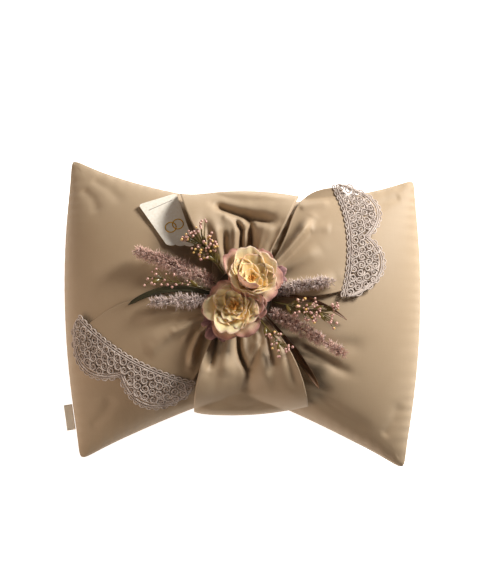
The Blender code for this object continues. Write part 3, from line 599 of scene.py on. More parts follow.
LEFT_FOLDS = (
    (((-24, -8), (-52, -16), (-84, -20), (-118, -26)), 3.5, 8, 4.5),
    (((-26, -14), (-52, -28), (-78, -44)), 3, 5.5, 6.5),
    (((-30, -24), (-46, -40), (-53, -58), (-57, -76)), 2.6, 4.0, 9.0),
    (((-26, -20), (-54, -34), (-68, -56)), 2.2, 3.6, 3.0),
    (((-34, -20), (-70, -36), (-110, -50)), 4, 10, 2.5),
    (((-70, -34), (-92, -54), (-104, -62)), 4, 8, 3.0),
    (((-22, -26), (-34, -46), (-40, -66)), 2.2, 3.6, 5.0),
)
RIGHT_FOLDS = (
    (((22, 12), (50, 12), (78, 12), (100, 20)), 3.2, 8, 5.5),
    (((24, 20), (52, 34), (84, 52)), 3, 9, 3.5),
    (((28, 28), (48, 50), (62, 68), (74, 88)), 3.5, 6, 11.0),
    (((22, 4), (50, 1), (76, 2), (100, 8)), 2.5, 4, 2.4),
    (((70, 72), (84, 76), (96, 74)), 4, 7, 1.4),
    (((60, 100), (78, 104), (96, 108)), 4, 6, 2.4),
)
for name, ends, lines, spreads, area in (
    ("left", LEFT_EDGE, LEFT_FOLDS, ((-11, 0.8), (0, 1)), 0.0117),
    ("right", RIGHT_EDGE, RIGHT_FOLDS, ((-5, 1), (11, 1.7)), 0.0090),
):
    piece = sheet_of(f"sash_tail_{name}", tail(ends, lines, spreads), SATIN, SATIN_THICK)
    settle(piece, "pillow", "satin", f"bow_tail_{name}")


# Guipure lace. Thick corded embroidery with no net behind it: a scalloped border, picots on both
# edges and scrolls held together by fine bars, sewn to each tail's end.

CORD, CORD_FINE = 0.00085, 0.00034
LACE_VALLEY, LACE_SCALLOP, LACE_OVER = 0.022, 0.018, 0.09
SCROLL_PITCH, SCROLL_SIZE = 0.0088, 0.0046
PICOT_PITCH, LACE_STEPS = 0.0068, 260
BAR_PITCH, BAR_LEAN = 0.0030, 0.010
# Cords along the scalloped edge, by how far in they lie, and along the straight edge, by how far
# out: each with its height above the cloth.
SCALLOP_CORDS = ((0.0012, 0.0006), (0.0033, 0.0010), (0.0062, 0.0005))
FOOT_CORDS = ((0.0008, 0.0007), (0.0030, 0.0009))


def corded(name, dark, light):
    """Twisted mercerised cotton cord: mauve-grey, with the twist's fine ribs along each cord and
    patches of tone some 6 mm across, as yarn-dyed embroidery has."""
    made, tree, shader = finish(name, Roughness=0.7, Sheen_Weight=0.25, Specular_IOR_Level=0.3)
    place = add(tree, "ShaderNodeUVMap").outputs["UV"]
    ribs = add(tree, "ShaderNodeTexWave", {"Scale": 260.0, "Distortion": 1.5},
               {"Vector": place}, bands_direction="DIAGONAL")
    spots = add(tree, "ShaderNodeTexNoise", {"Scale": 160.0, "Detail": 3.0},
                {"Vector": add(tree, "ShaderNodeTexCoord").outputs["Object"]})
    shade = add(tree, "ShaderNodeMath", {1: 0.45}, {0: ribs.outputs["Fac"], 2: spots.outputs[0]},
                operation="MULTIPLY_ADD")
    colour = add(tree, "ShaderNodeValToRGB", links={"Fac": shade.outputs[0]},
                 stops=((0.35, dark), (0.95, light)))
    tree.links.new(colour.outputs["Color"], shader.inputs["Base Color"])
    bump = add(tree, "ShaderNodeBump", {"Strength": 0.6, "Distance": 0.0002},
               {"Height": ribs.outputs["Fac"]})
    tree.links.new(bump.outputs[0], shader.inputs["Normal"])
    return made


GUIPURE = corded("mauve_grey_guipure", "#a08d83", "#d8c9be")


def tubes(paths, radii, sides, closed=False):
    """Round cords carried along paths (n, m, 3) with radii (n, m): points, quads and UV in metres.
    An open cord's ends are drawn to a point."""
    paths, radii = np.asarray(paths, float), np.broadcast_to(radii, np.shape(paths)[:2]).copy()
    count, steps = paths.shape[:2]
    if closed:
        ahead = np.roll(paths, -1, 1) - np.roll(paths, 1, 1)
    else:
        ahead = np.gradient(paths, axis=1)
        radii[:, [0, -1]] *= 0.02
    ahead /= np.maximum(np.linalg.norm(ahead, axis=2, keepdims=True), 1e-12)
    up = np.where(np.abs(ahead[..., 2:]) > 0.9, (1.0, 0.0, 0.0), (0.0, 0.0, 1.0))
    aside = np.cross(ahead, up)
    aside /= np.linalg.norm(aside, axis=2, keepdims=True)
    over = np.cross(aside, ahead)
    turn = np.arange(sides) * 2 * math.pi / sides
    ring = np.cos(turn)[:, None] * aside[..., None, :] + np.sin(turn)[:, None] * over[..., None, :]
    points = paths[:, :, None] + ring * radii[..., None, None]
    one = grid_faces(steps, sides, wrap_rows=closed, wrap_columns=True)[:, ::-1]
    faces = (one[None] + (np.arange(count) * steps * sides)[:, None, None]).reshape(-1, 4)
    length = np.concatenate([np.zeros((count, 1)),
                             np.cumsum(np.linalg.norm(np.diff(paths, axis=1), axis=2), 1)], 1)
    uv = np.stack(np.broadcast_arrays(length[..., None], (turn * 0.002)[None, None]), -1)
    return points.reshape(-1, 3), faces, uv.reshape(-1, 2)


def joined(groups):
    """Several sets of points, quads and UV as one."""
    offset = np.cumsum([0] + [len(g[0]) for g in groups])
    return (np.concatenate([g[0] for g in groups]),
            np.concatenate([g[1] + o for g, o in zip(groups, offset)]),
            np.concatenate([g[2] for g in groups]))


def lace_width(whole):
    """How far the lace reaches out, by its share of the length: two deep scallops, rounded ends."""
    width = LACE_VALLEY + LACE_SCALLOP * np.abs(np.sin(2 * math.pi * whole)) ** 0.8
    return width * np.sqrt(np.clip(1 - np.abs(2 * whole - 1) ** 8 * 0.75, 0, None))


def lace(ends, seed):
    """The lace's cords. A pattern point is (along, out) in metres from the inner edge; it is laid
    on the tail and the pillow, and a cord that crosses others is raised by its own level."""
    draw = np.random.default_rng(seed)
    length = float(np.linalg.norm(ends[1] - ends[0]))
    first, last = -LACE_OVER * length, (1 + LACE_OVER / 3) * length

    def laid(along, out_by, level):
        edge, out = lace_edge(ends, along / length)
        at = edge + out_by[..., None] * out
        z = front_z(at[..., 0], at[..., 1], TAIL_LIFT + SATIN_THICK)
        drape = 0.0010 * np.cos(along * 130 + 1.0) * out_by / 0.04
        return np.dstack([at[..., 0], at[..., 1], z + level + np.abs(drape)])

    groups = []
    t = np.linspace(0, 1, LACE_STEPS)
    along = mix(first, last, t)
    wide = lace_width(t)
    for back_by, level in SCALLOP_CORDS:
        out_by = np.maximum(wide - back_by, 0.002)
        groups.append(tubes(laid(along[None], out_by[None], level), CORD, 6))
    for set_in, level in FOOT_CORDS:
        straight = np.full((1, LACE_STEPS), set_in)
        groups.append(tubes(laid(along[None], straight, level), CORD * 0.9, 6))
    picots = int((last - first) / PICOT_PITCH)
    centre = mix(first, last, (np.arange(picots) + 0.5) / picots)
    arc = np.linspace(-0.15, math.pi + 0.15, 11)
    for edge_side in (1, -1):
        where = (centre - first) / (last - first)
        base = lace_width(where) - 0.0012 if edge_side > 0 else np.full(picots, 0.0008)
        slope = np.gradient(base, centre) if edge_side > 0 else np.zeros(picots)
        size = PICOT_PITCH / 2 * 0.94
        swing = np.cos(arc)[None] * size
        bulge = edge_side * np.sin(arc)[None] * size * 0.85
        steep = np.sqrt(1 + slope[:, None] ** 2)
        at_along = centre[:, None] + swing / steep - bulge * slope[:, None] / steep
        at_out = base[:, None] + swing * slope[:, None] / steep + bulge / steep
        groups.append(tubes(laid(at_along, at_out, 0.0006), CORD * 0.85, 5))
    spots_along, spots_out = np.meshgrid(np.arange(first + 0.005, last - 0.003, SCROLL_PITCH * 0.92),
                                         np.arange(0.0068, 0.040, SCROLL_PITCH * 0.86), indexing="ij")
    odd = np.arange(spots_out.shape[1])[None] % 2
    uneven = draw.uniform(-0.0008, 0.0008, spots_along.shape)
    spots_along = spots_along + odd * SCROLL_PITCH / 2 + uneven
    where = (spots_along - first) / (last - first)
    keep = (spots_out < lace_width(np.clip(where, 0, 1)) - 0.0052) & (where > 0.015) & (where < 0.985)
    spots_along, spots_out = spots_along[keep][:, None], spots_out[keep][:, None]
    number = len(spots_along)
    way = np.where(draw.uniform(size=(number, 1)) < 0.5, -1, 1)
    spin = draw.uniform(0, 2 * math.pi, (number, 1))
    curl = np.linspace(0, 1, 22)[None]
    radius = SCROLL_SIZE * (1 - 0.80 * curl)
    angle = spin + way * curl * 3.3 * math.pi
    scroll = laid(spots_along + np.cos(angle) * radius, spots_out + np.sin(angle) * radius, 0.0009)
    scroll = scroll + np.array([0, 0, 1]) * (0.0005 * np.sin(curl * 6))[..., None]
    groups.append(tubes(scroll, CORD * 0.95, 6))
    slant = np.linspace(0, 1, 16)[None]
    for lean in (-BAR_LEAN, BAR_LEAN):
        root = np.arange(first + 0.004, last - 0.004, BAR_PITCH)[:, None]
        where = np.clip((root - first) / (last - first), 0, 1)
        beyond = np.clip((root + lean - first) / (last - first), 0, 1)
        top = np.minimum(lace_width(where), lace_width(beyond))
        bars = laid(np.clip(root + lean * slant, first + 0.002, last - 0.002),
                    0.0008 + (top - 0.003) * slant, 0.0002)
        groups.append(tubes(bars, CORD_FINE, 4))
    return joined(groups), length


for number, (name, ends) in enumerate((("left", LEFT_EDGE), ("right", RIGHT_EDGE))):
    (points, faces, uv), length = lace(ends, 11 + number)
    piece = mesh_of(f"guipure_{name}", points, faces, GUIPURE, uv)
    settle(piece, "pillow", "guipure", f"lace_{name}")


# Felt base. A disc of moss-green wool felt that the flowers and stems are glued to, on the knot. It is
# drawn near-black brown: painted shade, the shade that falls under the flowers and stems.

FELT_RADIUS, FELT_THICK, FIT_GAP = 0.030, 0.0020, 0.0004
base_low = knot_top + FIT_GAP
base_top = base_low + FELT_THICK


def flecked(name, noise, dark, light, relief=(), **values):
    """A finish with a fine even fleck of noise from dark to light. relief is the fleck's bump: its
    strength, and its depth in metres."""
    made, tree, shader = finish(name, **values)
    fleck = add(tree, "ShaderNodeTexNoise", noise,
                {"Vector": add(tree, "ShaderNodeTexCoord").outputs["Object"]})
    colour = add(tree, "ShaderNodeValToRGB", links={"Fac": fleck.outputs[0]},
                 stops=((0.3, dark), (0.7, light)))
    tree.links.new(colour.outputs["Color"], shader.inputs["Base Color"])
    if relief:
        bump = add(tree, "ShaderNodeBump", {"Strength": relief[0], "Distance": relief[1]},
                   {"Height": fleck.outputs[0]})
        tree.links.new(bump.outputs[0], shader.inputs["Normal"])
    return made


# Wool felt: matted fibres a millimetre or so apart, dull, and coloured near-black brown as painted
# shade, the shade between the stems.
FELT_PAINTED_SHADE = flecked("moss_wool_felt_painted_shade", {"Scale": 900.0, "Detail": 5.0, "Roughness": 0.7},
               "#2a2015", "#463724", (0.8, 0.0005), Roughness=0.95, Sheen_Weight=0.1)
turn = np.linspace(0, 2 * math.pi, 65)[:-1]
felt_profile = np.array([[0.001, 0], [0.6, 0], [0.985, 0], [1, 0.3],
                         [1, 0.7], [0.985, 1], [0.6, 1], [0.001, 1]])
felt = np.empty((len(felt_profile), len(turn), 3))
felt[..., 0] = BOW[0] + FELT_RADIUS * felt_profile[:, :1] * np.cos(turn)
felt[..., 1] = BOW[1] + FELT_RADIUS * felt_profile[:, :1] * np.sin(turn)
felt[..., 2] = base_low + FELT_THICK * felt_profile[:, 1:]
felt_faces = grid_faces(len(felt_profile), len(turn), wrap_columns=True)[:, ::-1]
# The disc's near-black brown is painted shade under the spray, not the felt's own moss green.
disc = mesh_of("felt_base", felt.reshape(-1, 3), felt_faces, FELT_PAINTED_SHADE)
settle(disc, "pillow", "felt", "spray_base")


# Silk flowers. Heat-set polyester silk petals, dip-dyed from cream to blush at the rims, stacked on a
# moulded calyx and pulled together at the foot; amber stamens stand in the middle.

FLOWER_OFFSET, FLOWER_HEADING = 0.0155, math.radians(63)
CALYX_RADIUS, CALYX_TILT = 0.005, math.radians(20)
PETAL_ROWS, PETAL_COLUMNS, PETAL_THICK = 19, 17, 0.00025


def silk(name, stops, through):
    """Petal silk: dyed by the petal's tint from its foot to its rim, in blotches some 9 mm across,
    with lengthwise veins 1 mm apart and a share of light through it."""
    made, tree, shader = finish(name, Roughness=0.7, Specular_IOR_Level=0.2, Subsurface_Weight=through,
                                Subsurface_Scale=0.004, Subsurface_Radius=(1.0, 0.85, 0.65))
    dye = add(tree, "ShaderNodeAttribute", attribute_name="tint").outputs["Fac"]
    place = add(tree, "ShaderNodeUVMap").outputs["UV"]
    drawn_out = add(tree, "ShaderNodeMapping", {"Scale": (90, 900, 1)}, {"Vector": place})
    veins = add(tree, "ShaderNodeTexNoise", {"Scale": 1.0, "Detail": 3.0},
                {"Vector": drawn_out.outputs[0]})
    blotch = add(tree, "ShaderNodeTexNoise", {"Scale": 110.0, "Detail": 2.0},
                 {"Vector": add(tree, "ShaderNodeTexCoord").outputs["Object"]})
    shift = add(tree, "ShaderNodeMath", {1: 0.34}, {0: blotch.outputs[0], 2: dye},
                operation="MULTIPLY_ADD")
    level = add(tree, "ShaderNodeMath", {1: 0.17}, {0: shift.outputs[0]}, operation="SUBTRACT")
    colour = add(tree, "ShaderNodeValToRGB", links={"Fac": level.outputs[0]}, stops=stops)
    tree.links.new(colour.outputs["Color"], shader.inputs["Base Color"])
    bump = add(tree, "ShaderNodeBump", {"Strength": 0.5, "Distance": 0.0003},
               {"Height": veins.outputs[0]})
    tree.links.new(bump.outputs[0], shader.inputs["Normal"])
    return made


# The same silk in three dips: butter cream with a blush rim, which lets most light through, then
# blush for the outer petals and mauve for the loose florets, which let little or almost none.
CREAM = silk("cream_petal_silk", ((0.0, "#f3c873"), (0.35, "#fddb94"), (0.75, "#f9dfa4"),
                                  (1.0, "#e2ac92")), 0.6)
BLUSH = silk("blush_petal_silk", ((0.0, "#dfcca2"), (0.4, "#dabb9a"), (0.75, "#bd8979"),
                                  (1.0, "#8f625a")), 0.3)
MAUVE = silk("mauve_petal_silk", ((0.0, "#5f4042"), (0.5, "#7d5a5c"), (1.0, "#a07a76")), 0.05)


def petal(azimuth, foot, length, width, lean, lift, curl, ruffle, phase, level, notch=0.0):
    """One petal round the flower's axis: it leaves its foot at one slope and ends at another, its
    tip curls back, its rim waves, and its sides wrap round the axis. Gives points, UV and tint."""
    along = np.linspace(0, 1, PETAL_ROWS)[:, None]
    side = np.linspace(-1, 1, PETAL_COLUMNS)[None]
    reach = along * (1 - 0.17 * np.abs(side) ** 3 - notch * np.exp(-((side / 0.18) ** 2)))
    slope = mix(lean, lift, reach) - curl * smooth((reach - 0.72) / 0.28)
    step = length / (PETAL_ROWS - 1) * reach[-1:]
    out = foot + np.cumsum(np.cos(slope) * step, 0) - np.cos(slope[:1]) * step
    rise = level + np.cumsum(np.sin(slope) * step, 0) - np.sin(slope[:1]) * step
    half = width / 2 * np.sin(math.pi * (0.10 + 0.62 * along)) ** 0.75
    wave = ruffle * along ** 2.2 * (np.sin(side * 6.5 + phase) + 0.5 * np.sin(side * 12.3 + 2 * phase))
    wave = wave + ruffle * 0.8 * along ** 2 * side ** 2
    out = out - wave * np.sin(slope) - 0.06 * length * side ** 2 * along
    rise = rise + wave * np.cos(slope)
    wrap = side * half / np.maximum(out, 0.55 * half + 0.002)
    angle = azimuth + wrap
    points = np.dstack([out * np.cos(angle), out * np.sin(angle), rise])
    uv = np.dstack(np.broadcast_arrays(along * length, side * half))
    rim = np.maximum(along ** 3.0, 0.9 * np.abs(side) ** 5 * along)
    return points, uv, np.broadcast_to(rim, points.shape[:2])


def flower_place(side, heading, tilt):
    """Where a flower stands: its foot on the felt, leaning by a tilt towards a heading."""
    way = Vector((math.cos(FLOWER_HEADING), math.sin(FLOWER_HEADING), 0)) * side
    foot_z = base_top + FIT_GAP + CALYX_RADIUS * math.sin(CALYX_TILT)
    foot = Vector((*BOW, foot_z)) + way * FLOWER_OFFSET
    lean = math.radians(heading)
    tip_over = Matrix.Rotation(math.radians(tilt), 4, Vector((-math.sin(lean), math.cos(lean), 0)))
    return np.array(Matrix.Translation(foot) @ tip_over)


def many_petals(each):
    """Several petals' points, quads, UV and tint as one."""
    one = grid_faces(PETAL_ROWS, PETAL_COLUMNS)
    faces = np.concatenate([one + PETAL_ROWS * PETAL_COLUMNS * k for k in range(len(each))])
    points, uvs, tints = (np.concatenate(part) for part in zip(*each))
    return points, faces, uvs, tints


def petals(place, rows, facing, seed):
    """Rings of petals, each a little different and shorter where it meets the other flower. rows are
    (count, sweep, turn, foot, length, width, lean, lift, curl, ruffle, level, cut, dye)."""
    draw = np.random.default_rng(seed)
    each = []
    for count, sweep, turn, foot, length, width, lean, lift, curl, ruffle, level, cut, dye in rows:
        for k in range(count):
            vary = draw.uniform(-1, 1, 7)
            azimuth = math.radians(turn + sweep * k / count + 9 * vary[0])
            short = 1 - cut * max(math.cos(azimuth - facing), 0) ** 1.5
            at, uv, tint = petal(
                azimuth, foot, length * short * (1 + 0.10 * vary[1]), width * (1 + 0.12 * vary[2]),
                math.radians(lean + 8 * vary[3]), math.radians(lift + 11 * vary[4]),
                math.radians(curl * (1 + 0.5 * vary[5])), ruffle, 3 * vary[6], level + 0.0004 * (k % 3),
                0.05 * (1 + vary[4]))
            each.append((at.reshape(-1, 3) @ place[:3, :3].T + place[:3, 3],
                         uv.reshape(-1, 2) + (0.1 * k, 0.0), np.maximum(tint, dye).ravel()))
    return many_petals(each)


FLOWER_ROWS = {
    "a": {
        "outer": ((6, 360, 12, 0.003, 0.034, 0.042, 6, 32, 24, 0.0010, 0.0036, 0.42, 0.0),
                  (1, 0, 226, 0.010, 0.029, 0.034, 50, 82, -6, 0.0006, 0.0060, 0.0, 0.82)),
        "middle": ((5, 360, 40, 0.003, 0.032, 0.040, 12, 50, 8, 0.0010, 0.0046, 0.34, 0.0),
                   (5, 360, 80, 0.003, 0.026, 0.034, 20, 56, 0, 0.0010, 0.0054, 0.28, 0.0)),
        "inner": ((4, 360, 30, 0.002, 0.018, 0.024, 22, 52, -8, 0.0008, 0.0062, 0.10, 0.0),
                  (3, 360, 0, 0.001, 0.011, 0.018, 26, 52, -14, 0.0006, 0.0066, 0.0, 0.0)),
    },
    "b": {
        "outer": ((6, 360, 5, 0.003, 0.035, 0.042, 4, 30, 24, 0.0011, 0.0036, 0.46, 0.0),
                  (1, 0, -16, 0.006, 0.034, 0.038, 6, 26, 10, 0.0010, 0.0030, 0.0, 0.95)),
        "middle": ((5, 360, 35, 0.003, 0.031, 0.038, 10, 38, 16, 0.0012, 0.0046, 0.34, 0.0),
                   (5, 360, 0, 0.003, 0.026, 0.032, 16, 44, 12, 0.0012, 0.0054, 0.24, 0.0)),
        "inner": ((5, 360, 20, 0.002, 0.019, 0.024, 20, 46, 8, 0.0012, 0.0062, 0.08, 0.0),
                  (4, 360, 45, 0.001, 0.012, 0.016, 24, 48, 2, 0.0010, 0.0066, 0.0, 0.0)),
    },
}
# Moulded polythene: olive, mottled every 2 or 3 mm, with a dull skin. Dyed thread: amber, uneven
# from one anther to the next.
CALYX_GREEN = flecked("moulded_calyx_green", {"Scale": 400.0, "Detail": 3.0}, "#453c20", "#625530",
                      Roughness=0.6)
STAMEN_AMBER = flecked("amber_stamen_thread", {"Scale": 1500.0, "Detail": 2.0}, "#a8702a", "#dba04a",
                       Roughness=0.65)
for node_name in ("flower_a_calyx", "flower_b_calyx"):
    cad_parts[node_name].data.materials.clear()
    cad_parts[node_name].data.materials.append(CALYX_GREEN)


STAMENS, STAMEN_SPREAD, STAMEN_FOOT = 26, 0.0050, 0.0072
STAMEN_RADII = np.array([0.22, 0.22, 0.22, 0.22, 0.22, 0.3, 0.75, 0.85, 0.5]) / 1000


def stamens(place, tall, seed):
    """A tuft of threads from the flower's foot, each bowing out and ending in a fat anther."""
    draw = np.random.default_rng(seed)
    turn = draw.uniform(0, 2 * math.pi, STAMENS)
    spread = np.sqrt(draw.uniform(0, 1, STAMENS)) * STAMEN_SPREAD
    share = np.linspace(0, 1, len(STAMEN_RADII))
    height = tall * draw.uniform(0.7, 1.0, STAMENS)
    paths = np.empty((STAMENS, len(STAMEN_RADII), 3))
    bow_out = share[None] ** 1.6 * spread[:, None]
    paths[..., 0] = np.cos(turn)[:, None] * (0.0006 + bow_out)
    paths[..., 1] = np.sin(turn)[:, None] * (0.0006 + bow_out)
    paths[..., 2] = STAMEN_FOOT + share[None] * height[:, None]
    return tubes(paths @ place[:3, :3].T + place[:3, 3], STAMEN_RADII[None], 6)


# Each flower's name, side of the knot, lean in degrees (heading and tilt), stamen height and seed.
FLOWERS = (("a", 1, 63, 20, 0.003, 3), ("b", -1, 150, 13, 0.0095, 8))
for flower_name, side, heading, tilt, tall, seed in FLOWERS:
    place = flower_place(side, heading, tilt)
    facing = FLOWER_HEADING + (math.pi if side > 0 else 0)
    for number, (part, rows) in enumerate(FLOWER_ROWS[flower_name].items()):
        points, faces, uv, tint = petals(place, rows, facing, seed + number)
        dip, slot = (BLUSH, "petal_blush") if part == "outer" else (CREAM, "petal_cream")
        piece = mesh_of(f"petals_{part}_{flower_name}", points, faces, dip, uv, tint)
        thicken(piece, PETAL_THICK)
        settle(piece, "pillow", slot, f"flower_{flower_name}_{part}_petals")
    points, faces, uv = stamens(place, tall, seed + 20)
    piece = mesh_of(f"stamen_tuft_{flower_name}", points, faces, STAMEN_AMBER, uv)
    settle(piece, "pillow", "stamen_gold", f"flower_{flower_name}_stamens")


# Loose florets. Two rounded mauve silk petals that show from under the flowers.

FLORET_THICK = 0.0004
FLORETS = (("floret_lower", 230, 0.030, 0.0105), ("floret_upper", 33, 0.024, 0.009))


def floret(angle_deg, reach, half_width, lobes):
    """A flat cluster of rounded lobes from the felt's rim outwards: each a petal of its own."""
    draw = np.random.default_rng(lobes + int(angle_deg))
    angle = math.radians(angle_deg)
    foot = np.array([BOW[0] + math.cos(angle) * FELT_RADIUS, BOW[1] + math.sin(angle) * FELT_RADIUS,
                     base_top - 0.0008])
    each = []
    for k in range(lobes):
        off_middle = k - (lobes - 1) / 2
        aim = angle + math.radians(46) * off_middle / max(lobes - 1, 1) * 1.5
        at, uv, tint = petal(aim, 0.0, reach * (1 - 0.12 * abs(off_middle)), half_width * 1.7,
                             math.radians(10), math.radians(-6), math.radians(14), 0.0009,
                             draw.uniform(0, 6), 0.0006 * k)
        each.append((at.reshape(-1, 3) + foot, uv.reshape(-1, 2), tint.ravel()))
    return many_petals(each)


for name, angle_deg, reach, half_width in FLORETS:
    points, faces, uv, tint = floret(angle_deg, reach, half_width, 3)
    piece = mesh_of(f"mauve_{name}", points, faces, MAUVE, uv, tint)
    thicken(piece, FLORET_THICK)
    settle(piece, "pillow", "floret_mauve", name)


# Plumes. Grass heads of flocked plastic: a wired stalk with whorls of short pointed bristles, the
# pink ones finer and fluffier, the lilac ones in stars.

def flocked(name, foot, tip):
    """Flock on moulded bristles: dull, paler towards the tips, in patches some 5 mm across."""
    made, tree, shader = finish(name, Roughness=0.9, Sheen_Weight=0.5, Specular_IOR_Level=0.2)
    dye = add(tree, "ShaderNodeAttribute", attribute_name="tint").outputs["Fac"]
    patch = add(tree, "ShaderNodeTexNoise", {"Scale": 190.0, "Detail": 3.0},
                {"Vector": add(tree, "ShaderNodeTexCoord").outputs["Object"]})
    shift = add(tree, "ShaderNodeMath", {1: 0.7}, {0: patch.outputs[0], 2: dye},
                operation="MULTIPLY_ADD")
    level = add(tree, "ShaderNodeMath", {1: 0.35}, {0: shift.outputs[0]}, operation="SUBTRACT")
    colour = add(tree, "ShaderNodeValToRGB", links={"Fac": level.outputs[0]},
                 stops=((0.0, foot), (0.9, tip)))
    tree.links.new(colour.outputs["Color"], shader.inputs["Base Color"])
    return made


PINK_FLOCK = flocked("dusty_pink_flock", "#855c4d", "#e2b9a8")
LILAC_FLOCK = flocked("lilac_grey_flock", "#80645c", "#e2cdc4")


def bezier(start, bend, end, count):
    """Points on a quadratic curve."""
    t = np.linspace(0, 1, count)[:, None]
    start, bend, end = np.asarray(start), np.asarray(bend), np.asarray(end)
    return (1 - t) ** 2 * start + 2 * t * (1 - t) * bend + t * t * end


def rim_point(angle_deg, half_thick):
    """Where a stem starts: just clear of the felt disc's rim, at its height."""
    angle = math.radians(angle_deg)
    reach = FELT_RADIUS + FIT_GAP + 0.7 * half_thick
    return np.array([BOW[0] + math.cos(angle) * reach, BOW[1] + math.sin(angle) * reach,
                     base_top - FELT_THICK / 2])


def over_front(x, y, lift):
    """A point at x, y from the bow's middle, a lift above the pillow there."""
    return np.array([BOW[0] + x, BOW[1] + y, float(front_z(BOW[0] + x, BOW[1] + y)) + lift])


STEM_HALF, STEM_POINTS, GOLDEN_TURN = 0.0009, 40, 2.39996
STALK_RADIUS, STEMLET_RADIUS, FLOCK_CLEAR = 0.0008, 0.00030, 0.0012
SPIKE_SHAPE = np.array([0.7, 1.0, 0.85, 0.12])


def plume(root_deg, tip, tip_lift, thick, florets, whorls, spikes, size, seed):
    """A stalk and its florets, in a spiral round the stalk, each a star of spikes that point out and
    forwards, most of them in the middle. whorls above 0 gathers them in that many rounds."""
    draw = np.random.default_rng(seed)
    start, end = rim_point(root_deg, STEM_HALF), over_front(*tip, tip_lift)
    bend = mix(start, end, 0.45)
    bend[2] = max(start[2], end[2]) + 0.005
    path = bezier(start, bend, end, STEM_POINTS)
    stalk = tubes(path[None], np.full((1, STEM_POINTS), STALK_RADIUS), 6)
    share = np.sort(draw.uniform(0.04, 1.0, florets))
    if whorls:
        share = np.clip(np.round(share * whorls) / whorls + draw.normal(0, 0.010, florets), 0.04, 1.0)
    spots = np.linspace(0, 1, STEM_POINTS)
    foot = np.stack([np.interp(share, spots, path[:, k]) for k in range(3)], -1)
    ahead = np.gradient(path, axis=0)
    ahead = np.stack([np.interp(share, spots, ahead[:, k]) for k in range(3)], -1)
    ahead /= np.linalg.norm(ahead, axis=1, keepdims=True)
    aside = np.cross(ahead, (0, 0, 1.0))
    aside /= np.linalg.norm(aside, axis=1, keepdims=True)
    over = np.cross(aside, ahead)
    turn = np.arange(florets) * GOLDEN_TURN + draw.uniform(-0.6, 0.6, florets)
    out = np.cos(turn)[:, None] * aside + np.sin(turn)[:, None] * over
    full = np.sin(np.clip((share + 0.04) / 1.10, 0.05, 1) ** 0.72 * math.pi) ** 0.6
    long = thick * full * draw.uniform(0.45, 1.0, florets)
    heart = foot + (out + 0.5 * ahead) * long[:, None] * 0.55
    aim = draw.normal(0, 0.75, (florets, spikes, 3)) + (out + 0.6 * ahead)[:, None] * 0.75
    aim /= np.linalg.norm(aim, axis=2, keepdims=True)
    reach = (aim * (size * draw.uniform(0.6, 1.25, (florets, spikes, 1)))).reshape(-1, 1, 3)
    heart = np.repeat(heart, spikes, 0)[:, None]
    s = np.linspace(0, 1, len(SPIKE_SHAPE))[None, :, None]
    paths = heart + reach * s + draw.normal(0, 0.16, reach.shape) * size * s ** 2
    paths[..., 2] = np.maximum(paths[..., 2], front_z(paths[..., 0], paths[..., 1]) + FLOCK_CLEAR)
    radii = SPIKE_SHAPE[None] * draw.uniform(0.00030, 0.00046, (len(paths), 1))
    stems = tubes(np.linspace(foot, heart[::spikes, 0], 3, axis=1), STEMLET_RADIUS, 3)
    stars = tubes(paths, radii, 3)
    points, faces, uv = joined([stalk, stems, stars])
    paler = np.linspace(0.15, 1, len(SPIKE_SHAPE))[None, :, None]
    paler = np.broadcast_to(paler, (len(paths), len(SPIKE_SHAPE), 3))
    tint = np.concatenate([np.zeros(len(stalk[0]) + len(stems[0])), paler.ravel()])
    return points, faces, uv, tint


# Each plume's name, root in degrees round the felt, tip from the bow's middle, tip's lift, half
# thickness, florets, whorls, spikes to a floret, spike length, colour and seed.
PLUMES = (
    ("plume_left_upper", 157, (-0.112, 0.047), 0.014, 0.0110, 270, 0, 8, 0.0060, "pink", 31),
    ("plume_left_lower", 193, (-0.095, -0.008), 0.012, 0.0082, 130, 12, 7, 0.0058, "lilac", 32),
    ("plume_right", 9, (0.092, 0.014), 0.012, 0.0086, 130, 11, 7, 0.0058, "lilac", 33),
    ("plume_lower_right", -31, (0.104, -0.061), 0.012, 0.0088, 200, 15, 8, 0.0056, "pink", 34),
)
for name, root, tip, lift, thick, florets, whorls, spikes, size, colour, seed in PLUMES:
    points, faces, uv, tint = plume(root, tip, lift, thick, florets, whorls, spikes, size, seed)
    flock = PINK_FLOCK if colour == "pink" else LILAC_FLOCK
    piece = mesh_of(f"flock_{name}", points, faces, flock, uv, tint)
    settle(piece, "pillow", f"plume_{colour}", name)


# Berry sprigs. Fine wired twigs with small lacquered berries, pink ones and a few ochre ones, and
# some small pointed leaves along the stem.

def lacquered():
    """Dipped foam berries: blush pink to ochre by the piece's tint, with specks 1 to 2 mm apart and
    a soft gloss; the lowest tints are the stems' and leaves' olive and brown."""
    made, tree, shader = finish("lacquered_berry", Roughness=0.32, Coat_Weight=0.3, Coat_Roughness=0.2)
    dye = add(tree, "ShaderNodeAttribute", attribute_name="tint").outputs["Fac"]
    speck = add(tree, "ShaderNodeTexNoise", {"Scale": 700.0, "Detail": 2.0},
                {"Vector": add(tree, "ShaderNodeTexCoord").outputs["Object"]})
    shift = add(tree, "ShaderNodeMath", {1: 0.12}, {0: speck.outputs[0], 2: dye},
                operation="MULTIPLY_ADD")
    colour = add(tree, "ShaderNodeValToRGB", links={"Fac": shift.outputs[0]},
                 stops=((0.0, "#4f4a1c"), (0.12, "#6b5a2a"), (0.35, "#b5837a"), (0.7, "#d9ab9c"),
                        (1.0, "#d8ae62")))
    tree.links.new(colour.outputs["Color"], shader.inputs["Base Color"])
    return made


BERRY = lacquered()
SPRIG_POINTS, TWIG_RADIUS, BERRY_CLEAR = 30, 0.00033, 0.004
BERRY_SMALL, BERRY_LARGE = 0.0010, 0.0018
LEAFLET_LONG, LEAFLET_HALF = 0.013, 0.0019
STEM_TINT, TWIG_TINT, LEAFLET_TINT, OCHRE_TINT = 0.0, 0.02, 0.05, 0.97


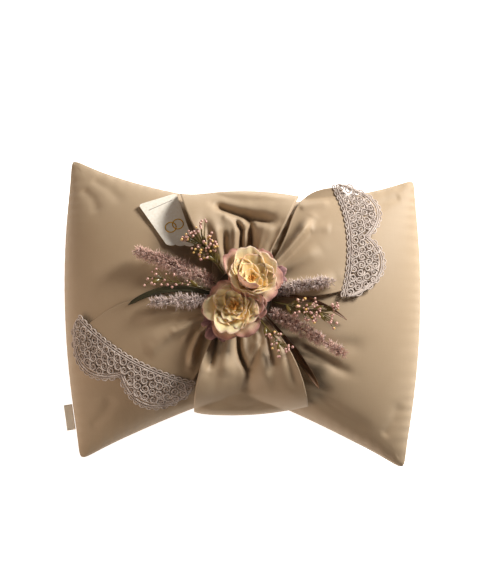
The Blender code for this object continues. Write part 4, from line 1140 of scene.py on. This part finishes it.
def balls(centres, radii, sides=8, rings=6):
    """Small round berries at centres (n, 3): points, quads and UV. Their poles are drawn shut."""
    tall = np.linspace(0.02, math.pi - 0.02, rings)
    turn = np.arange(sides) * 2 * math.pi / sides
    unit = np.stack([np.sin(tall)[:, None] * np.cos(turn), np.sin(tall)[:, None] * np.sin(turn),
                     np.cos(tall)[:, None] * np.ones(sides)], -1).reshape(1, -1, 3)
    points = centres[:, None] + unit * np.asarray(radii)[:, None, None]
    one = grid_faces(rings, sides, wrap_columns=True)
    faces = (one[None] + (np.arange(len(centres)) * rings * sides)[:, None, None]).reshape(-1, 4)
    return points.reshape(-1, 3), faces, np.zeros((len(centres) * rings * sides, 2))


def leaflets(path, count, draw):
    """Small pointed leaves to both sides of a stem: cords of a leaf's width, pressed flat."""
    at = path[(np.linspace(0.25, 0.8, count) * (len(path) - 1)).astype(int)]
    ahead = math.atan2(*(path[-1] - path[0])[1::-1])
    way = ahead + np.where(np.arange(count) % 2, 1, -1) * draw.uniform(0.35, 0.9, count)
    t = np.linspace(0, 1, 9)
    spine = np.empty((count, 9, 3))
    spine[..., 0] = at[:, :1] + np.cos(way)[:, None] * t * LEAFLET_LONG
    spine[..., 1] = at[:, 1:2] + np.sin(way)[:, None] * t * LEAFLET_LONG
    spine[..., 2] = at[:, 2:] + 0.004 * np.sin(t * 2.2)
    points, faces, uv = tubes(spine, LEAFLET_HALF * np.sin(math.pi * t ** 0.8)[None] + 0.0001, 8)
    each = points.reshape(count, 9, 8, 3)
    each[..., 2] = mix(spine[:, :, None, 2], each[..., 2], 0.15)
    return each.reshape(-1, 3), faces, uv


def sprig(root_deg, tip, tip_lift, berries, leaves, reach, ochre, seed):
    """A stem with twigs to both sides and up, each twig ending in a berry, and a few leaves."""
    draw = np.random.default_rng(seed)
    start, end = rim_point(root_deg, STEM_HALF), over_front(*tip, tip_lift)
    bend = mix(start, end, 0.5)
    bend[2] = max(start[2], end[2]) + 0.003
    path = bezier(start, bend, end, SPRIG_POINTS)
    spots = np.linspace(0, 1, SPRIG_POINTS)
    share = draw.uniform(0.36, 0.98, berries)
    fork = np.clip(share - 0.12, 0, 1)
    foot = np.stack([np.interp(fork, spots, path[:, k]) for k in range(3)], -1)
    ahead = (end - start) / np.linalg.norm(end - start)
    aside = np.cross(ahead, (0, 0, 1.0))
    spread = draw.uniform(-1, 1, berries) * (0.35 + 0.65 * share)
    at = (foot + ahead * (0.10 + 0.35 * (share[:, None] > 0.8)) * reach * 1.2
          + aside * spread[:, None] * reach
          + np.array([0, 0, 1]) * draw.uniform(-0.1, 0.55, (berries, 1)) * reach * 0.5
          + ahead * 0.5 * reach)
    at[:, 2] = np.maximum(at[:, 2], front_z(at[:, 0], at[:, 1]) + BERRY_CLEAR)
    middle = mix(foot, at, 0.5) + ahead * reach * 0.12
    s = np.linspace(0, 1, 7)[None, :, None]
    twigs = (1 - s) ** 2 * foot[:, None] + 2 * s * (1 - s) * middle[:, None] + s * s * at[:, None]
    size = draw.uniform(BERRY_SMALL, BERRY_LARGE, berries)
    stem = tubes(path[None], np.linspace(STEM_HALF, 0.0005, SPRIG_POINTS)[None], 6)
    thin = tubes(twigs, TWIG_RADIUS, 4)
    round_ones = balls(at, size)
    foliage = leaflets(path, leaves, draw)
    points, faces, uv = joined([stem, thin, round_ones, foliage])
    colour = np.where(draw.uniform(size=berries) < ochre, OCHRE_TINT, draw.uniform(0.30, 0.70, berries))
    tint = np.concatenate([np.full(len(stem[0]), STEM_TINT), np.full(len(thin[0]), TWIG_TINT),
                           np.repeat(colour, len(round_ones[0]) // berries),
                           np.full(len(foliage[0]), LEAFLET_TINT)])
    return points, faces, uv, tint


# Each sprig's name, root in degrees round the felt, tip from the bow's middle, tip's lift, berries,
# leaves, reach of its twigs, share of ochre berries and seed.
SPRIGS = (
    ("berry_sprig_upper", 131, (-0.046, 0.056), 0.028, 84, 5, 0.020, 0.22, 41),
    ("berry_sprig_left", 170, (-0.101, 0.018), 0.018, 22, 2, 0.011, 0.0, 42),
    ("berry_sprig_right", -13, (0.090, -0.022), 0.018, 80, 7, 0.017, 0.12, 43),
    ("berry_sprig_lower", -56, (0.041, -0.056), 0.026, 28, 3, 0.012, 0.15, 44),
)
for name, root, tip, lift, berries, leaves, reach, ochre, seed in SPRIGS:
    points, faces, uv, tint = sprig(root, tip, lift, berries, leaves, reach, ochre, seed)
    piece = mesh_of(f"twigs_{name}", points, faces, BERRY, uv, tint)
    settle(piece, "pillow", "berries", name)


# Strap leaves. Long blades of stiffened cloth, folded along the midrib; one olive, two brown and
# twisted.

def leaf_cloth(name, dark, light):
    """Stiffened cloth leaf: streaked along its length, the streaks 0.7 mm apart and 25 mm long."""
    made, tree, shader = finish(name, Roughness=0.55, Sheen_Weight=0.1)
    place = add(tree, "ShaderNodeUVMap").outputs["UV"]
    drawn_out = add(tree, "ShaderNodeMapping", {"Scale": (40, 1500, 1)}, {"Vector": place})
    streak = add(tree, "ShaderNodeTexNoise", {"Scale": 1.0, "Detail": 4.0},
                 {"Vector": drawn_out.outputs[0]})
    colour = add(tree, "ShaderNodeValToRGB", links={"Fac": streak.outputs[0]},
                 stops=((0.3, dark), (0.7, light)))
    tree.links.new(colour.outputs["Color"], shader.inputs["Base Color"])
    bump = add(tree, "ShaderNodeBump", {"Strength": 0.6, "Distance": 0.0003},
               {"Height": streak.outputs[0]})
    tree.links.new(bump.outputs[0], shader.inputs["Normal"])
    return made


OLIVE = leaf_cloth("olive_leaf_cloth", "#262310", "#46411f")
BROWN = leaf_cloth("brown_leaf_cloth", "#2e1d0e", "#86592f")
BLADE_POINTS, BLADE_COLUMNS, BLADE_THICK, BLADE_KEEL = 60, 9, 0.0005, 0.35


def strap(root_deg, through, half_width, lift, twist):
    """A blade along a curve over the cloth: pointed, its halves raised from the midrib, twisting."""
    start = rim_point(root_deg, 0.0004)
    bend, end = (over_front(*p, lift) for p in through)
    path = bezier(start, 2 * bend - (start + end) / 2, end, BLADE_POINTS)
    path[:, 2] = np.maximum(path[:, 2], front_z(path[:, 0], path[:, 1]) + lift)
    share = np.linspace(0, 1, BLADE_POINTS)
    aside = np.cross(np.gradient(path, axis=0), (0, 0, 1.0))
    aside /= np.linalg.norm(aside, axis=1, keepdims=True)
    full = 0.25 + 0.75 * np.sin(math.pi * np.clip(share, 0.05, 0.97)) ** 0.7
    width = half_width * full * np.minimum(1, (1.02 - share) * 14)
    across = np.linspace(-1, 1, BLADE_COLUMNS)
    roll = twist * np.sin(share * 2.3 * math.pi)[:, None]
    flat_out = np.cos(roll) * across * width[:, None]
    raised = np.sin(roll) * across * width[:, None] + BLADE_KEEL * np.abs(across) * width[:, None]
    points = path[:, None] + aside[:, None] * flat_out[..., None]
    points[..., 2] += raised
    return points


# Each blade's name, root in degrees round the felt, two points that it passes from the bow's middle,
# half width, lift, twist and colour.
BLADES = (
    ("strap_leaf_left", 178, ((-0.080, 0.006), (-0.122, -0.010)), 0.0036, 0.0045, 0.3, "green"),
    ("strap_leaf_right", -3, ((0.070, -0.005), (0.109, -0.026)), 0.0026, 0.0050, 0.7, "brown"),
    ("strap_leaf_long", -43, ((0.055, -0.061), (0.080, -0.098)), 0.0040, 0.0055, 0.5, "brown"),
)
for name, root, through, half_width, lift, twist, colour in BLADES:
    blade = strap(root, through, half_width, lift, twist)
    piece = sheet_of(f"blade_{name}", blade, OLIVE if colour == "green" else BROWN, BLADE_THICK)
    settle(piece, "pillow", f"leaf_{colour}", name)


# Hang tag. Coated ivory card with a scalloped lower edge, a foil-stamped pair of rings and a printed
# hairline. It turns on a brass pin through its hole.

TAG_LOW = np.array([[-0.0813, 0.0660], [-0.0513, 0.0645]])
TAG_HIGH = np.array([[-0.1133, 0.1120], [-0.0723, 0.1260]])
TAG_THICK, TAG_ROUND, TAG_WAVE = 0.0006, 0.0045, 0.0016
PIN_AT, PIN_Z = np.array([-0.0613, 0.0720]), 0.10145
TAG_NORMAL = np.array([0.008915, 0.302599, 0.953076])
PIN_HOLE, CARD_CLEAR, OUTLINE_STEPS = 0.0016, 0.0001, 40
RING_RADIUS, RING_APART, RING_HALF, RING_ABOVE = 0.0058, 0.0042, 0.00055, 0.00085
HAIRLINE_HALF, HAIRLINE_ABOVE, PRINT_THICK = 0.00035, 0.00082, 0.0001

# Coated board: ivory, with a faint tooth of 3 mm that the coating leaves. Stamped foil: gold,
# slightly broken up each millimetre by the board under it. Printing ink: flat grey.
CARD = flecked("coated_ivory_card", {"Scale": 350.0, "Detail": 5.0}, "#efe6d6", "#faf4e9",
               (0.15, 0.0002), Roughness=0.5, Specular_IOR_Level=0.4)
FOIL = flecked("stamped_gold_foil", {"Scale": 900.0, "Detail": 3.0}, "#b98522", "#e0ac3d",
               Metallic=1.0, Roughness=0.32)
INK = flecked("grey_print_ink", {"Scale": 2500.0}, "#8f877b", "#aba397", Roughness=0.6)


def on_tag(x, y, above):
    """Points over x, y on the card's underside plane, moved along its normal."""
    z = PIN_Z - (TAG_NORMAL[0] * (x - PIN_AT[0]) + TAG_NORMAL[1] * (y - PIN_AT[1])) / TAG_NORMAL[2]
    return np.stack([x, y, z], -1) + above * TAG_NORMAL


def card_outline(steps):
    """The card's outline, anticlockwise from its lower left corner: scallops along the low edge and
    round corners at the top."""
    (low_left, low_right), (high_left, high_right) = TAG_LOW, TAG_HIGH
    t = np.linspace(0, 1, steps)[:, None]
    down = np.array([0, -1]) * TAG_WAVE
    low = mix(low_left, low_right, t) + down * np.abs(np.sin(3 * math.pi * t)) ** 0.7
    inward = [low_right - high_right, high_left - high_right, high_right - high_left,
              low_left - high_left]
    inward = [w / np.linalg.norm(w) * TAG_ROUND for w in inward]
    corner_right = bezier(high_right + inward[0], high_right, high_right + inward[1], 12)
    corner_left = bezier(high_left + inward[2], high_left, high_left + inward[3], 12)
    side_right = mix(low[-1], corner_right[0], t[1:-1])
    top = mix(corner_right[-1], corner_left[0], t[1:-1])
    side_left = mix(corner_left[-1], low[0], t[1:-1])
    return np.concatenate([low, side_right, corner_right, top, corner_left, side_left])


outline = card_outline(OUTLINE_STEPS)
rim_turn = np.arctan2(outline[:, 1] - PIN_AT[1], outline[:, 0] - PIN_AT[0])
hole = PIN_AT + PIN_HOLE * np.stack([np.cos(rim_turn), np.sin(rim_turn)], -1)
ways = np.concatenate([[0.0], np.linspace(0.08, 1.0, 12)])
spokes = mix(hole[None], outline[None], ways[:, None, None])
layers = np.concatenate([on_tag(spokes[::-1, :, 0], spokes[::-1, :, 1], CARD_CLEAR),
                         on_tag(spokes[..., 0], spokes[..., 1], CARD_CLEAR + TAG_THICK)])
tag = mesh_of("tag_card", layers.reshape(-1, 3),
              grid_faces(*layers.shape[:2], wrap_rows=True, wrap_columns=True)[:, ::-1], CARD)
tag.data.set_sharp_from_angle(angle=math.radians(35))
settle(tag, "tag", "ivory_card", "hang_tag")


def ribbon(line, half_width, above):
    """A flat printed line on the card, along points in plan."""
    ahead = np.gradient(line, axis=0)
    ahead /= np.linalg.norm(ahead, axis=1, keepdims=True)
    side = np.stack([-ahead[:, 1], ahead[:, 0]], -1)
    across = np.array([-1, 1])[None, :, None] * half_width
    at = line[:, None] + side[:, None] * across
    return on_tag(at[..., 0], at[..., 1], above)


up_card = TAG_HIGH.mean(0) - TAG_LOW.mean(0)
up_card = up_card / np.linalg.norm(up_card)
over_card = np.array([up_card[1], -up_card[0]])
motif_at = TAG_LOW.mean(0) + up_card * 0.0225 + over_card * 0.0035
turn = np.linspace(0, 2 * math.pi, 61)
for number, side in enumerate((-1, 1)):
    centre = motif_at + over_card * side * RING_APART
    circle = centre + RING_RADIUS * np.stack([np.cos(turn), np.sin(turn)], -1)
    line = ribbon(circle, RING_HALF, RING_ABOVE + 0.00006 * number)
    piece = sheet_of(f"foil_ring_{number + 1}", line, FOIL, PRINT_THICK)
    settle(piece, "tag", "pin_brass")
hair = TAG_HIGH.mean(0) - up_card * 0.0085 + over_card * np.linspace(-0.014, 0.014, 30)[:, None]
piece = sheet_of("tag_hairline", ribbon(hair, HAIRLINE_HALF, HAIRLINE_ABOVE), INK, PRINT_THICK)
settle(piece, "tag", "ivory_card")

# Polished brass: warm, with fine rubbed marks 0.8 mm apart.
BRASS = flecked("polished_brass_pin", {"Scale": 1200.0, "Detail": 3.0}, "#a9822f", "#d2ab52",
                Metallic=1.0, Roughness=0.25)
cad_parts["tag_pin"].data.materials.clear()
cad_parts["tag_pin"].data.materials.append(BRASS)


# Floor, soft studio light and camera.

# White paper roll: matt, evenly bright, with a faint tooth.
PAPER = flecked("white_paper_floor", {"Scale": 60.0, "Detail": 3.0}, "#f6f6f4", "#ffffff",
                Roughness=0.9, Emission_Color=(1, 1, 1, 1), Emission_Strength=0.85)
FLOOR_HALF, FLOOR_Z = 3.0, -0.0006
floor = mesh_of("floor_sheet", [(x * FLOOR_HALF, y * FLOOR_HALF, FLOOR_Z)
                                for x, y in ((-1, -1), (1, -1), (1, 1), (-1, 1))],
                [(0, 1, 2, 3)], PAPER)


def soft_light(name, place, aim, size, power, colour):
    """A square soft box."""
    data = bpy.data.lights.new(name, "AREA")
    data.shape, data.size, data.energy, data.color = "SQUARE", size, power, colour
    made = bpy.data.objects.new(name, data)
    made.location = place
    made.rotation_euler = (Vector(aim) - Vector(place)).to_track_quat("-Z", "Y").to_euler()
    bpy.context.scene.collection.objects.link(made)


soft_light("key_box", (0.97, 0.80, 0.68), (0, 0, 0.05), 0.40, 33.5, (1.0, 0.985, 0.95))
soft_light("fill_box", (-1.05, -0.50, 0.65), (0, 0, 0.05), 1.0, 9.0, (1.0, 0.80, 0.64))
WORLD_LIGHT = 0.08
world = bpy.data.worlds.new("studio_air")
world.use_nodes = True
world.node_tree.nodes["Background"].inputs["Color"].default_value = (1, 1, 1, 1)
world.node_tree.nodes["Background"].inputs["Strength"].default_value = WORLD_LIGHT
bpy.context.scene.world = world
bpy.context.scene.view_settings.view_transform = "Standard"

CAMERA_AIM, CAMERA_AWAY, CAMERA_UP = Vector((0.0086, 0.0336, 0.046)), 1.05, math.radians(82)
lens = bpy.data.cameras.new("camera")
lens.sensor_fit, lens.sensor_width, lens.lens = "AUTO", 36.0, 59.6
lens.clip_start, lens.clip_end = 0.05, 20
camera = bpy.data.objects.new("camera", lens)
camera.location = CAMERA_AIM + CAMERA_AWAY * Vector((0, -math.cos(CAMERA_UP), math.sin(CAMERA_UP)))
camera.rotation_euler = (CAMERA_AIM - camera.location).to_track_quat("-Z", "Y").to_euler()
bpy.context.scene.collection.objects.link(camera)
bpy.context.scene.camera = camera
